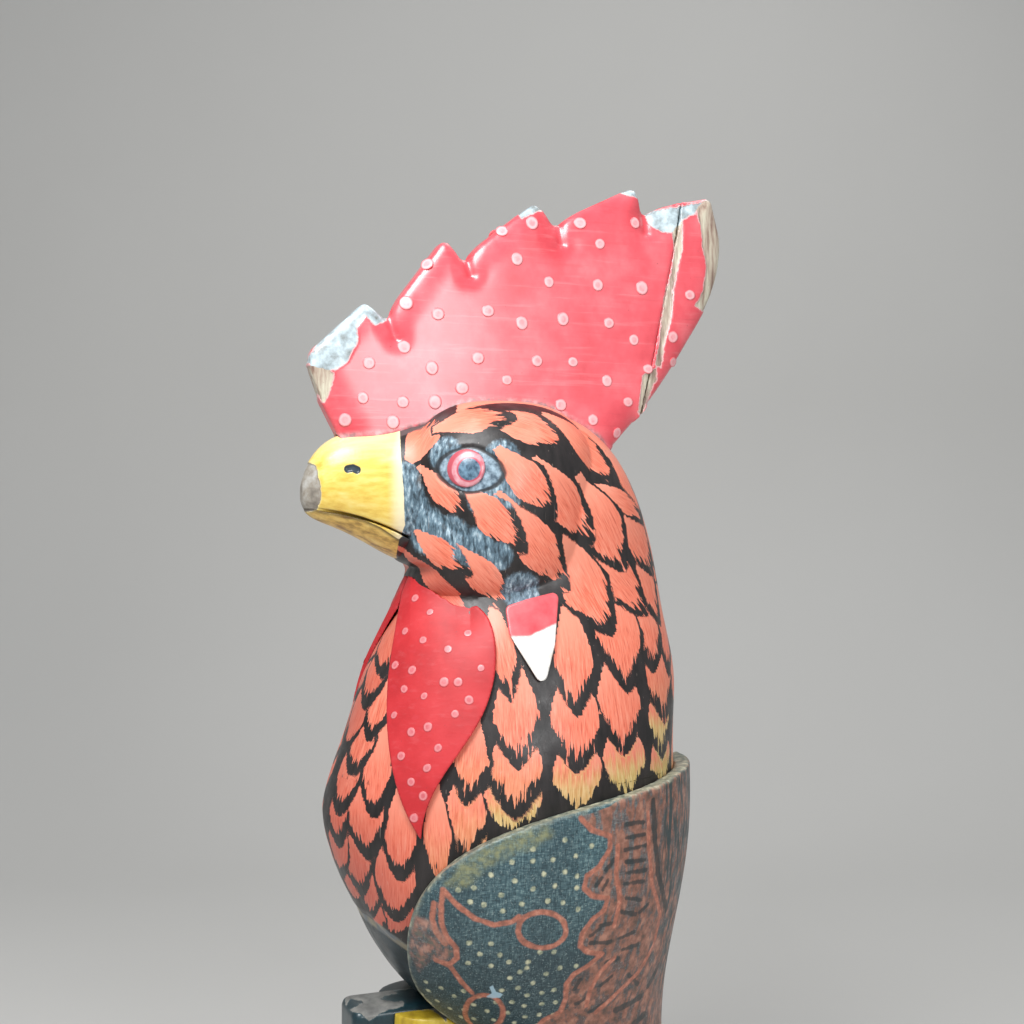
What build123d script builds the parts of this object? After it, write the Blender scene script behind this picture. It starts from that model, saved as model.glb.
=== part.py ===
"""Carved and painted wooden rooster on a base, built up from glued blocks, slips and dowels.

Millimetres. +Z is up, the bird faces -Y and its left side is +X.
The origin is the middle of the base's underside.
"""

import os
from math import cos, radians, sin
from typing import NamedTuple

from build123d import *


class Station(NamedTuple):
    """One level oval of the neck and trunk, at a rise above the oval below it."""

    rise: float
    centre: float
    half_depth: float
    half_width: float


class BeakStation(NamedTuple):
    """One upright oval across the beak, ahead of the face and above the middle of the head."""

    ahead: float
    rise: float
    half_height: float
    half_width: float


class TailStation(NamedTuple):
    """One oval across the tail, behind and below the trunk's end, leaning back by lean degrees."""

    back: float
    drop: float
    lean: float
    half_thickness: float
    half_width: float


class LegStation(NamedTuple):
    """One level oval of a leg, centred on the side of the leg block, above the base plate."""

    rise: float
    centre: float
    half_depth: float
    half_width: float


class Toe(NamedTuple):
    """One toe: its direction in degrees from the bird's left, and its length."""

    turn: float
    length: float


# Base plate
BASE_LENGTH = 150.0
BASE_WIDTH = 110.0
BASE_THICKNESS = 16.0
BASE_CORNER = 24.0
BASE_EDGE = 3.0

# Neck and trunk, from the tail end up to the crown
OVAL_STEPS = 8
VENT = Station(rise=42, centre=35, half_depth=20, half_width=20)
RUMP = Station(rise=18, centre=29, half_depth=26.5, half_width=25)
THIGH = Station(rise=21, centre=21, half_depth=34.1, half_width=31)
BELLY = Station(rise=26, centre=7.5, half_depth=50, half_width=41)
FLANK = Station(rise=18, centre=2.8, half_depth=58, half_width=47)
BREAST = Station(rise=24, centre=0, half_depth=64.5, half_width=51)
SHOULDER = Station(rise=27, centre=1.9, half_depth=62.8, half_width=52)
HACKLE = Station(rise=22, centre=6, half_depth=59.5, half_width=48)
COLLAR = Station(rise=22, centre=10, half_depth=54, half_width=41)
THROAT = Station(rise=14, centre=13, half_depth=48.5, half_width=35)
JAW = Station(rise=12, centre=14.5, half_depth=45, half_width=32)
EAR = Station(rise=17, centre=14, half_depth=41, half_width=31.5)
NAPE = Station(rise=15, centre=13.5, half_depth=35.5, half_width=28)
BROW = Station(rise=11, centre=13, half_depth=29, half_width=22.5)
CROWN = Station(rise=13, centre=9, half_depth=11, half_width=8)
TRUNK = [VENT, RUMP, THIGH, BELLY, FLANK, BREAST, SHOULDER]
NECK = [HACKLE, COLLAR, THROAT, JAW, EAR, NAPE, BROW, CROWN]
FORM = TRUNK + NECK

# Head: a barrel-shaped egg set forward in the top of the neck, level with the ear
HEAD_FORWARD = 16.0
HEAD_RISE = 3.5
HEAD_HALF_WIDTH = 36.5
HEAD_HALF_DEPTH = 38.5
HEAD_HALF_HEIGHT = 39.5
HEAD_SQUARENESS = 2.8
HEAD_END_LEAN = 80.0
HEAD_RINGS = 9

# Beak, from its root inside the face to the blunt tip
BEAK_ROOT = BeakStation(ahead=-12.5, rise=6.5, half_height=26, half_width=18.5)
BEAK_FACE = BeakStation(ahead=1.5, rise=6.7, half_height=22.5, half_width=16.5)
BEAK_NOSTRIL = BeakStation(ahead=15.5, rise=9.5, half_height=17.8, half_width=12.5)
BEAK_HOOK = BeakStation(ahead=24.5, rise=9.4, half_height=13.9, half_width=9.4)
BEAK_NOSE = BeakStation(ahead=30, rise=7.5, half_height=9.2, half_width=6)
BEAK_TIP = BeakStation(ahead=32.8, rise=6, half_height=3.4, half_width=2.4)
BEAK = [BEAK_ROOT, BEAK_FACE, BEAK_NOSTRIL, BEAK_HOOK, BEAK_NOSE, BEAK_TIP]
BEAK_TENON_RADIUS = 7.0
BEAK_TENON_LENGTH = 18.0

# Mouth line, sawn into both sides of the beak: (ahead of the face, above the middle of the head)
MOUTH_TIP = (36, 0.8)
MOUTH_MIDDLE = (13.5, -2.6)
MOUTH_CORNER = (-4.5, -10.9)
MOUTH_KERF = 1.0
MOUTH_CORE = 5.0

# Eye pegs, set square to the side of the head
EYE_TURN = 33.8
EYE_RISE = 14.3
EYE_RADIUS = 6.0
EYE_DOME = 1.6
EYE_PEG_LENGTH = 14.0

# Comb, drawn in the bird's middle plane: (behind the middle of the head, above the comb's foot)
COMB_SEAT_DEPTH = 18.0
COMB_FOOT_THICKNESS = 18.0
COMB_TOP_THICKNESS = 12.0
COMB_FRONT_FOOT = (-55, 0)
COMB_BROW = (-63, 16)
COMB_NOSE = (-68.5, 31.5)
COMB_TEETH = [(-48.6, 51.5), (-20.4, 75), (14.6, 91), (54.5, 99.8)]
COMB_NOTCHES = [(-41, 47.5), (-12.8, 69.3), (21.8, 83.8), (57.9, 91)]
COMB_JOINT_TOP = (73.4, 95)
COMB_JOINT_FOOT = (55, 13.5)
COMB_REAR_FOOT = (42.5, 0)
COMB_LAST_TOOTH = (86.7, 98)
COMB_BACK = [(90.3, 84), (85.8, 59), (75.8, 42), (64.6, 25.6)]
COMB_NOSE_RADIUS = 9.0
COMB_TOOTH_RADIUS = 2.5
COMB_DOWEL_RADIUS = 2.5
COMB_DOWEL_REACH = 10.0
COMB_DOWEL_SHARES = (0.28, 0.56)

# Slips and panels on the sides, drawn as seen from the left and a little ahead: (back, up)
SIDE_TURN = 20.0
SIDE_START = -30.0
SIDE_REACH = 120.0
MIDDLE_GAP = 1.0

# Wing panel, measured from the breast's level
WING_THICKNESS = 6.0
WING_EDGE = [
    (52, -102),
    (35, -95),
    (10, -79),
    (-13.6, -60),
    (-28, -44),
    (-30.7, -29),
    (-28.8, -15),
    (-19.6, 0),
    (4.5, 14),
    (31.4, 20.5),
    (60, 25),
    (85, 31),
]
WING_BACK_FOOT = (85, -85)

# Wattle slip, measured from the throat's level
WATTLE_THICKNESS = 2.2
WATTLE_TOP_REAR = (-8, 4)
WATTLE_REAR = [(-1.5, -20), (-5.4, -34), (-17.8, -53)]
WATTLE_TIP = (-25.6, -74.6)
WATTLE_FRONT = [(-35, -55), (-38.2, -33), (-36.5, -10)]
WATTLE_TOP_FRONT = (-32, 12)

# Ear lobe slip, measured from the throat's level
EARLOBE_THICKNESS = 2.0
EARLOBE_OUTLINE = [(1.7, 0), (9.5, 2.5), (20.2, 5), (18.5, -12.5), (14.6, -27), (3, -9)]
EARLOBE_CORNER = 2.0

# Tail, from its flat joint with the trunk
TAIL_ROOT = TailStation(back=2.5, drop=7, lean=7, half_thickness=20, half_width=22.5)
TAIL_ARCH = TailStation(back=14, drop=20, lean=28, half_thickness=14.5, half_width=26)
TAIL_SPREAD = TailStation(back=33, drop=29, lean=50, half_thickness=9.5, half_width=32)
TAIL_END = TailStation(back=64, drop=36, lean=66, half_thickness=4.5, half_width=37)
TAIL = [TAIL_END, TAIL_SPREAD, TAIL_ARCH, TAIL_ROOT]
TAIL_FEATHERS = 5
TAIL_FEATHER_STEP = 13.0
TAIL_FEATHER_WIDTH = 19.0
TAIL_FEATHER_LENGTH = 88.0
TAIL_FEATHER_ROOT = -20.0

# Sickle feathers on the tail, drawn in side view: (behind the trunk's end, below the tail joint)
SICKLE_WIDTH = 10.0
SICKLE_APART = 4.0
SICKLE_START = (19, 3)
SICKLE_CREST = (43, 16)
SICKLE_TIP = (63, 34)
SICKLE_ROOT = (19, 22)
SICKLE_BELLY = (36, 27)

# Leg block and legs
BLOCK_WIDTH = 20.0
BLOCK_FRONT = -57.0
BLOCK_BACK = 12.0
BLOCK_RISE = 94.5
BLOCK_CORNER = 3.0
LEG_TOP = LegStation(rise=93, centre=-24, half_depth=18.5, half_width=12)
LEG_THIGH = LegStation(rise=80, centre=-24, half_depth=18.5, half_width=13)
LEG_KNEE = LegStation(rise=58, centre=-27, half_depth=12, half_width=10)
LEG_SHANK = LegStation(rise=28, centre=-31, half_depth=8, half_width=8.5)
LEG_ANKLE = LegStation(rise=0, centre=-32, half_depth=8.5, half_width=9)
LEG = [LEG_ANKLE, LEG_SHANK, LEG_KNEE, LEG_THIGH, LEG_TOP]
FRONT_TOE = Toe(turn=-84, length=27)
OUTER_TOE = Toe(turn=-40, length=24)
BACK_TOE = Toe(turn=75, length=17)
TOES = [FRONT_TOE, OUTER_TOE, BACK_TOE]
TOE_ROOT_RADIUS = 6.0
TOE_TIP_RADIUS = 3.6
TOE_RISE = 2.5
TOE_OUTWARD = 5.0

# Dowels and screws
NECK_DOWEL_RADIUS = 9.0
NECK_DOWEL_LENGTH = 64.0
WING_DOWEL_STATIONS = [THIGH, FLANK]
WING_DOWEL_RADIUS = 4.0
WING_DOWEL_DEPTH = 18.0
WING_DOWEL_COVER = 3.0
TAIL_DOWEL_RADIUS = 5.0
TAIL_DOWEL_LENGTH = 34.0
TAIL_DOWEL_BACK = 3.0
BLOCK_DOWEL_STATIONS = [RUMP, THIGH]
BLOCK_DOWEL_RADIUS = 5.0
BLOCK_DOWEL_LENGTH = 52.0
SCREW_RADIUS = 2.5
SCREW_LENGTH = 38.0
SCREW_HEAD_RADIUS = 5.0
SCREW_HEAD_DEPTH = 3.0
SCREW_RECESS = 1.5
SCREW_SPACING = 36.0

# Levels and planes that follow from the sizes above
LEVEL = {}
for station in FORM:
    LEVEL[station] = station.rise + max(LEVEL.values(), default=BASE_THICKNESS)
head_y = EAR.centre - HEAD_FORWARD
head_z = LEVEL[EAR] + HEAD_RISE
face_y = head_y - HEAD_HALF_DEPTH
comb_foot = head_z + HEAD_HALF_HEIGHT - COMB_SEAT_DEPTH
comb_plane = Plane(origin=(0, head_y, comb_foot), x_dir=(0, 1, 0), z_dir=(1, 0, 0))
block_middle = (BLOCK_FRONT + BLOCK_BACK) / 2


def side_plane(level):
    """The plane on which the slips of the bird's left side are drawn, at a level."""
    turn = radians(SIDE_TURN)
    facing = Vector(cos(turn), -sin(turn), 0)
    start = facing * SIDE_START + Vector(0, 0, level)
    return Plane(origin=start, x_dir=(sin(turn), cos(turn), 0), z_dir=facing)


def head_girth(share):
    """How wide the head is at a share of its half height, as a share of its widest."""
    return (1 - abs(share) ** HEAD_SQUARENESS) ** (1 / HEAD_SQUARENESS)


def half_oval(half_width, half_depth):
    """The left half of an oval, closed along the middle, so that lofts through it never twist."""
    turns = [radians(180 * step / OVAL_STEPS - 90) for step in range(OVAL_STEPS + 1)]
    with BuildLine() as rim:
        edge = Spline(*[(half_width * cos(turn), half_depth * sin(turn)) for turn in turns])
        Line(edge @ 1, edge @ 0)
    make_face(rim.edges())


def left_side(growth):
    """The left half of neck and trunk, with every oval grown by a thickness."""
    with BuildPart() as half:
        for station in FORM:
            with BuildSketch(Plane((0, station.centre, LEVEL[station]))):
                half_oval(station.half_width + growth, station.half_depth + growth)
        loft()
    return half.part


def tail_section(station):
    """The leaning oval of one tail station."""
    lean = radians(station.lean)
    centre = (0, VENT.centre + station.back, LEVEL[VENT] - station.drop)
    with BuildSketch(Plane(origin=centre, x_dir=(1, 0, 0), z_dir=(0, -sin(lean), cos(lean)))) as section:
        half_oval(station.half_width, station.half_thickness)
    return section.sketch


def mirrored(part):
    """The right-hand twin of a left-hand piece."""
    with BuildPart() as twin:
        mirror(part, about=Plane.YZ)
    return twin.part


def keep(piece, name):
    """Labels a finished piece and writes its file."""
    piece.label = name
    export_step(piece, f"parts/{name}.step")


os.makedirs("parts", exist_ok=True)

# Carved forms that several pieces are cut from
left_form = left_side(0)

with BuildPart() as form:
    add(left_form)
    mirror(about=Plane.YZ)

with BuildPart() as tail_form:
    joint = TailStation(back=0, drop=0, lean=0, half_thickness=VENT.half_depth, half_width=VENT.half_width)
    sections = [tail_section(station) for station in (*TAIL, joint)]
    for lower, upper in zip(sections[:-1], sections[1:]):
        loft([lower, upper])
    mirror(about=Plane.YZ)

with BuildPart() as head_form:
    for ring in range(HEAD_RINGS):
        share = sin(radians(HEAD_END_LEAN) * (2 * ring / (HEAD_RINGS - 1) - 1))
        with BuildSketch(Plane((0, head_y, head_z + HEAD_HALF_HEIGHT * share))):
            half_oval(HEAD_HALF_WIDTH * head_girth(share), HEAD_HALF_DEPTH * head_girth(share))
    loft()
    mirror(about=Plane.YZ)

with BuildPart() as beak_form:
    for station in BEAK:
        middle = (0, face_y - station.ahead, head_z + station.rise)
        with BuildSketch(Plane(origin=middle, x_dir=(1, 0, 0), z_dir=(0, -1, 0))):
            half_oval(station.half_width, station.half_height)
    loft()
    mirror(about=Plane.YZ)

# Beak with a round tenon, and its mouth line sawn in from both sides
with BuildPart() as mouth_saw:
    with BuildSketch(Plane(origin=(MOUTH_CORE, face_y, head_z), x_dir=(0, 1, 0), z_dir=(1, 0, 0))):
        with BuildLine():
            lip = ThreePointArc(*[(-ahead, rise) for ahead, rise in (MOUTH_TIP, MOUTH_MIDDLE, MOUTH_CORNER)])
            offset(lip, amount=MOUTH_KERF / 2, side=Side.BOTH)
        make_face()
    extrude(amount=BEAK_ROOT.half_width)
    mirror(about=Plane.YZ)

with BuildPart() as beak:
    add(beak_form.part)
    add(head_form.part, mode=Mode.SUBTRACT)
    add(form.part, mode=Mode.SUBTRACT)
    add(mouth_saw.part, mode=Mode.SUBTRACT)
    with BuildSketch(Plane.XZ.offset(BEAK_FACE.ahead - face_y)):
        with Locations((0, head_z + BEAK_FACE.rise)):
            Circle(BEAK_TENON_RADIUS)
    extrude(amount=-BEAK_TENON_LENGTH)

# Eye pegs with a low dome, square to the head's surface
eye_share = EYE_RISE / HEAD_HALF_HEIGHT
eye_girth = head_girth(eye_share)
eye_slope = eye_girth ** (HEAD_SQUARENESS - 1)
across, along = cos(radians(EYE_TURN)), -sin(radians(EYE_TURN))
eye_y = head_y + HEAD_HALF_DEPTH * eye_girth * along
eye_plane = Plane(
    origin=(HEAD_HALF_WIDTH * eye_girth * across, eye_y, head_z + EYE_RISE),
    z_dir=(
        eye_slope * across / HEAD_HALF_WIDTH,
        eye_slope * along / HEAD_HALF_DEPTH,
        eye_share ** (HEAD_SQUARENESS - 1) / HEAD_HALF_HEIGHT,
    ),
)
eye_ball_radius = (EYE_RADIUS**2 + EYE_DOME**2) / (2 * EYE_DOME)
with BuildPart(eye_plane) as left_eye:
    with Locations((0, 0, EYE_DOME)):
        Cylinder(EYE_RADIUS, EYE_PEG_LENGTH, align=(Align.CENTER, Align.CENTER, Align.MAX))
    with Locations((0, 0, EYE_DOME - eye_ball_radius)):
        Sphere(eye_ball_radius, mode=Mode.INTERSECT)
right_eye = mirrored(left_eye.part)

# Comb boards, thinner towards the top, and the dowels across their glue line
comb_top = max(rise for back, rise in COMB_TEETH)
with BuildPart() as comb_wedge:
    with BuildSketch(Plane.XZ.offset(-head_y)):
        with BuildLine():
            Polyline(
                (-COMB_FOOT_THICKNESS / 2, comb_foot),
                (COMB_FOOT_THICKNESS / 2, comb_foot),
                (COMB_TOP_THICKNESS / 2, comb_foot + comb_top),
                (-COMB_TOP_THICKNESS / 2, comb_foot + comb_top),
                close=True,
            )
        make_face()
    extrude(amount=COMB_BACK[0][0] - COMB_NOSE[0], both=True)

joint_line = Vector(*COMB_JOINT_FOOT) - Vector(*COMB_JOINT_TOP)
with BuildPart() as comb_dowels:
    for share in COMB_DOWEL_SHARES:
        middle = comb_plane.from_local_coords(Vector(*COMB_JOINT_TOP) + joint_line * share)
        with BuildSketch(Plane(origin=middle, z_dir=(0, -joint_line.Y, joint_line.X))):
            Circle(COMB_DOWEL_RADIUS)
        extrude(amount=COMB_DOWEL_REACH, both=True)

with BuildPart() as comb_front:
    with BuildSketch(comb_plane):
        with BuildLine():
            saw_edge = [point for pair in zip(COMB_TEETH, COMB_NOTCHES) for point in pair]
            outline = [COMB_BROW, COMB_NOSE, *saw_edge, COMB_JOINT_TOP]
            FilletPolyline(
                COMB_FRONT_FOOT,
                *outline,
                COMB_JOINT_FOOT,
                radius=[COMB_NOSE_RADIUS] * 2 + [COMB_TOOTH_RADIUS, 0] * len(COMB_TEETH) + [0],
            )
            Polyline(COMB_JOINT_FOOT, COMB_REAR_FOOT, COMB_FRONT_FOOT)
        make_face()
    extrude(amount=COMB_FOOT_THICKNESS, both=True)
    add(comb_wedge.part, mode=Mode.INTERSECT)
    add(beak_form.part, mode=Mode.SUBTRACT)
    add(comb_dowels.part, mode=Mode.SUBTRACT)

with BuildPart() as comb_rear:
    with BuildSketch(comb_plane):
        with BuildLine():
            corners = [COMB_JOINT_FOOT, COMB_JOINT_TOP, COMB_LAST_TOOTH, COMB_BACK[0]]
            FilletPolyline(*corners, radius=[0, COMB_TOOTH_RADIUS])
            Spline(*COMB_BACK, COMB_JOINT_FOOT)
        make_face()
    extrude(amount=COMB_FOOT_THICKNESS, both=True)
    add(comb_wedge.part, mode=Mode.INTERSECT)
    add(comb_dowels.part, mode=Mode.SUBTRACT)

# Wing panels: a skin over the trunk, cut to the wing's outline, held by hidden dowels
with BuildPart() as wing_dowels:
    for station in WING_DOWEL_STATIONS:
        with BuildSketch(Plane.YZ.offset(station.half_width - WING_DOWEL_DEPTH)):
            with Locations((station.centre, LEVEL[station])):
                Circle(WING_DOWEL_RADIUS)
        extrude(amount=WING_DOWEL_DEPTH + WING_THICKNESS - WING_DOWEL_COVER)
    mirror(about=Plane.YZ)

with BuildPart() as left_wing:
    add(left_side(WING_THICKNESS))
    add(left_form, mode=Mode.SUBTRACT)
    with BuildSketch(side_plane(LEVEL[BREAST])):
        with BuildLine():
            Spline(*WING_EDGE)
            Polyline(WING_EDGE[-1], WING_BACK_FOOT, WING_EDGE[0])
        make_face()
    extrude(amount=SIDE_REACH, mode=Mode.INTERSECT)
    split(bisect_by=Plane.YZ.offset(MIDDLE_GAP), keep=Keep.TOP)
    add(wing_dowels.part, mode=Mode.SUBTRACT)
right_wing = mirrored(left_wing.part)

# Wattles and ear lobes: thin slips on the neck, under the jaw
with BuildPart() as left_wattle:
    add(left_side(WATTLE_THICKNESS))
    add(left_form, mode=Mode.SUBTRACT)
    add(head_form.part, mode=Mode.SUBTRACT)
    with BuildSketch(side_plane(LEVEL[THROAT])):
        with BuildLine():
            Spline(WATTLE_TOP_REAR, *WATTLE_REAR, WATTLE_TIP)
            Spline(WATTLE_TIP, *WATTLE_FRONT, WATTLE_TOP_FRONT)
            Line(WATTLE_TOP_FRONT, WATTLE_TOP_REAR)
        make_face()
    extrude(amount=SIDE_REACH, mode=Mode.INTERSECT)
    split(bisect_by=Plane.YZ.offset(MIDDLE_GAP), keep=Keep.TOP)
right_wattle = mirrored(left_wattle.part)

with BuildPart() as left_earlobe:
    add(left_side(EARLOBE_THICKNESS))
    add(left_form, mode=Mode.SUBTRACT)
    add(head_form.part, mode=Mode.SUBTRACT)
    with BuildSketch(side_plane(LEVEL[THROAT])):
        with BuildLine():
            FilletPolyline(*EARLOBE_OUTLINE, radius=EARLOBE_CORNER, close=True)
        make_face()
    extrude(amount=SIDE_REACH, mode=Mode.INTERSECT)
    split(bisect_by=Plane.YZ.offset(MIDDLE_GAP), keep=Keep.TOP)
right_earlobe = mirrored(left_earlobe.part)

# Head with the neck, above the shoulder joint
with BuildPart() as neck_dowel:
    with BuildSketch(Plane.XY.offset(LEVEL[SHOULDER])):
        with Locations((0, SHOULDER.centre)):
            Circle(NECK_DOWEL_RADIUS)
    extrude(amount=NECK_DOWEL_LENGTH / 2, both=True)

with BuildPart() as head_and_neck:
    add(form.part)
    split(bisect_by=Plane.XY.offset(LEVEL[SHOULDER]), keep=Keep.TOP)
    add(head_form.part)
    for inlet in (beak.part, left_eye.part, right_eye, comb_front.part, neck_dowel.part):
        add(inlet, mode=Mode.SUBTRACT)

# Tail fan of fanned feathers, with two sickle feathers on top
with BuildPart() as tail_dowel:
    with BuildSketch(Plane.XY.offset(LEVEL[VENT])):
        with Locations((0, VENT.centre + TAIL_DOWEL_BACK)):
            Circle(TAIL_DOWEL_RADIUS)
    extrude(amount=TAIL_DOWEL_LENGTH / 2, both=True)

with BuildPart() as tail_fan:
    add(tail_form.part)
    add(tail_dowel.part, mode=Mode.SUBTRACT)
    with BuildSketch():
        with Locations((0, VENT.centre)):
            Rectangle(2 * TAIL_ARCH.half_width, 2 * VENT.half_width + TAIL_ARCH.half_thickness)
        for feather in range(TAIL_FEATHERS):
            turn = 90 + TAIL_FEATHER_STEP * (feather - (TAIL_FEATHERS - 1) / 2)
            with Locations(Location((0, VENT.centre + TAIL_FEATHER_ROOT), turn)):
                SlotOverall(TAIL_FEATHER_LENGTH, TAIL_FEATHER_WIDTH, align=(Align.MIN, Align.CENTER))
    extrude(amount=2 * LEVEL[VENT], mode=Mode.INTERSECT)

with BuildPart() as left_sickle:
    joint = (VENT.centre, LEVEL[VENT])
    sickle_plane = Plane(origin=(SICKLE_APART / 2, *joint), x_dir=(0, 1, 0), z_dir=(1, 0, 0))
    start, crest, tip, belly, root = (
        (back, -drop) for back, drop in (SICKLE_START, SICKLE_CREST, SICKLE_TIP, SICKLE_BELLY, SICKLE_ROOT)
    )
    with BuildSketch(sickle_plane):
        with BuildLine():
            ThreePointArc(start, crest, tip)
            ThreePointArc(tip, belly, root)
            Line(root, start)
        make_face()
    extrude(amount=SICKLE_WIDTH)
    add(tail_form.part, mode=Mode.SUBTRACT)
    add(form.part, mode=Mode.SUBTRACT)
right_sickle = mirrored(left_sickle.part)

# Trunk, below the shoulder joint
with BuildPart() as block_dowels:
    for station in BLOCK_DOWEL_STATIONS:
        with BuildSketch(Plane.XY.offset(LEVEL[station])):
            with Locations((0, station.centre - station.half_depth)):
                Circle(BLOCK_DOWEL_RADIUS)
        extrude(amount=BLOCK_DOWEL_LENGTH / 2, both=True)

with BuildPart() as trunk:
    add(form.part)
    split(bisect_by=Plane.XY.offset(LEVEL[SHOULDER]), keep=Keep.BOTTOM)
    for inlet in (neck_dowel.part, wing_dowels.part, tail_dowel.part, block_dowels.part):
        add(inlet, mode=Mode.SUBTRACT)

# Base plate and the screws that hold the leg block from below
upright = (Align.CENTER, Align.CENTER, Align.MIN)
with BuildPart() as base_screws:
    for place in (-SCREW_SPACING / 2, SCREW_SPACING / 2):
        with Locations((0, block_middle + place, SCREW_RECESS)):
            Cylinder(SCREW_RADIUS, SCREW_LENGTH, align=upright)
            Cone(SCREW_HEAD_RADIUS, SCREW_RADIUS, SCREW_HEAD_DEPTH, align=upright)

with BuildPart() as base_plate:
    with BuildSketch():
        RectangleRounded(BASE_WIDTH, BASE_LENGTH, BASE_CORNER)
    extrude(amount=BASE_THICKNESS)
    fillet(base_plate.faces().sort_by(Axis.Z)[-1].edges(), BASE_EDGE)
    add(base_screws.part, mode=Mode.SUBTRACT)
    for place in (-SCREW_SPACING / 2, SCREW_SPACING / 2):
        with Locations((0, block_middle + place, 0)):
            Cylinder(SCREW_HEAD_RADIUS, SCREW_RECESS, align=upright, mode=Mode.SUBTRACT)

# Leg block under the belly, shaped to the trunk
with BuildPart() as leg_block:
    with BuildSketch(Plane.XY.offset(BASE_THICKNESS)):
        with Locations((0, block_middle)):
            RectangleRounded(BLOCK_WIDTH, BLOCK_BACK - BLOCK_FRONT, BLOCK_CORNER)
    extrude(amount=BLOCK_RISE)
    fillet(leg_block.faces().sort_by(Axis.Z)[-1].edges(), BLOCK_CORNER)
    for inlet in (form.part, tail_form.part, left_wing.part, right_wing, block_dowels.part, base_screws.part):
        add(inlet, mode=Mode.SUBTRACT)

# Legs carved in relief on the sides of the block, with three toes each on the base plate
with BuildPart() as left_leg:
    for station in LEG:
        with BuildSketch(Plane((BLOCK_WIDTH / 2, station.centre, BASE_THICKNESS + station.rise))):
            half_oval(station.half_width, station.half_depth)
    loft()
    ankle = Vector(BLOCK_WIDTH / 2 + TOE_OUTWARD, LEG_ANKLE.centre, BASE_THICKNESS + TOE_RISE)
    for toe in TOES:
        heading = Vector(cos(radians(toe.turn)), sin(radians(toe.turn)), 0)
        tip = ankle + heading * toe.length
        with BuildSketch(Plane(origin=ankle, z_dir=heading)):
            Circle(TOE_ROOT_RADIUS)
        with BuildSketch(Plane(origin=tip, z_dir=heading)):
            Circle(TOE_TIP_RADIUS)
        loft()
        with Locations(tip):
            Sphere(TOE_TIP_RADIUS)
    split(bisect_by=Plane.XY.offset(BASE_THICKNESS), keep=Keep.TOP)
    split(bisect_by=Plane.YZ.offset(BLOCK_WIDTH / 2), keep=Keep.TOP)
    add(form.part, mode=Mode.SUBTRACT)
    add(left_wing.part, mode=Mode.SUBTRACT)
right_leg = mirrored(left_leg.part)

keep(base_plate.part, "base_plate")
keep(base_screws.part, "base_screws")
keep(leg_block.part, "leg_block")
keep(block_dowels.part, "block_dowels")
keep(left_leg.part, "left_leg")
keep(right_leg, "right_leg")
keep(trunk.part, "trunk")
keep(left_wing.part, "left_wing")
keep(right_wing, "right_wing")
keep(wing_dowels.part, "wing_dowels")
keep(tail_fan.part, "tail_fan")
keep(left_sickle.part, "left_sickle")
keep(right_sickle, "right_sickle")
keep(tail_dowel.part, "tail_dowel")
keep(neck_dowel.part, "neck_dowel")
keep(head_and_neck.part, "head_and_neck")
keep(left_wattle.part, "left_wattle")
keep(right_wattle, "right_wattle")
keep(left_earlobe.part, "left_earlobe")
keep(right_earlobe, "right_earlobe")
keep(left_eye.part, "left_eye")
keep(right_eye, "right_eye")
keep(beak.part, "beak")
keep(comb_front.part, "comb_front")
keep(comb_rear.part, "comb_rear")
keep(comb_dowels.part, "comb_dowels")
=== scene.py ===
import math

import bmesh
import bpy
import numpy as np
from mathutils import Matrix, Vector
from mathutils.bvhtree import BVHTree
from mathutils.kdtree import KDTree


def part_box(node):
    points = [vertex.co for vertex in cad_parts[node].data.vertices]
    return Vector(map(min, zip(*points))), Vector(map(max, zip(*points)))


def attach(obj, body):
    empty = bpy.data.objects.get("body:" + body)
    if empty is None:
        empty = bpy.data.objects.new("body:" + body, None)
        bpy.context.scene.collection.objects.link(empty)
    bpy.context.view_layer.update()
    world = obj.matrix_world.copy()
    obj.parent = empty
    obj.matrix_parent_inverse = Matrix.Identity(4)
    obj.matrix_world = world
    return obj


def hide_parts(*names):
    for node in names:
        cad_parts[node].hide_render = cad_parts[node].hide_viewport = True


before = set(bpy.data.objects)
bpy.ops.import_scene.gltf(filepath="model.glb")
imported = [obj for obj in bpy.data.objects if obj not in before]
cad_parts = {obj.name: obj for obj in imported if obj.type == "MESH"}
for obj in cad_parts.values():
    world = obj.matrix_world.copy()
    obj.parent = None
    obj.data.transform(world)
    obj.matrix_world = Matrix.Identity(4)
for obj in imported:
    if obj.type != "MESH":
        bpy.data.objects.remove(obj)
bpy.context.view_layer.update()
rng = np.random.default_rng(11)
millimetre = 0.001
farAway = 9.0               # millimetres, where a reach no longer counts
unreached = 99.0            # what a search for the nearest line starts from

# where the photograph was taken from: paint is placed by pixel and lands on the surface behind it
photo = {
    "turn": math.radians(70),
    "distance": 0.5,
    "eyeHeight": 0.282,
    "axisPixel": 500,
    "eyePixel": 512,
    "size": 1024,
    "focal": 1377,
}
towardsLens = np.array([math.sin(photo["turn"]), -math.cos(photo["turn"]), 0.0])
sideways = np.array([math.cos(photo["turn"]), math.sin(photo["turn"]), 0.0])
upwards = np.array([0.0, 0.0, 1.0])
lensPlace = towardsLens * photo["distance"] + upwards * photo["eyeHeight"]
pixelsPerMillimetre = photo["focal"] * millimetre / photo["distance"]


def toPhoto(points):
    depth = photo["distance"] - points @ towardsLens
    across = photo["axisPixel"] + photo["focal"] * (points @ sideways) / depth
    down = photo["eyePixel"] - photo["focal"] * (points[:, 2] - photo["eyeHeight"]) / depth
    return np.stack([across, down], 1)


def skinOf(*objects):
    corners, faces = [], []
    for one in objects:
        first = len(corners)
        corners += [v.co.copy() for v in one.data.vertices]
        faces += [[first + i for i in p.vertices] for p in one.data.polygons]
    return BVHTree.FromPolygons(corners, faces)


def nodeSkin(*names):
    return skinOf(*(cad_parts[name] for name in names))


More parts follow.
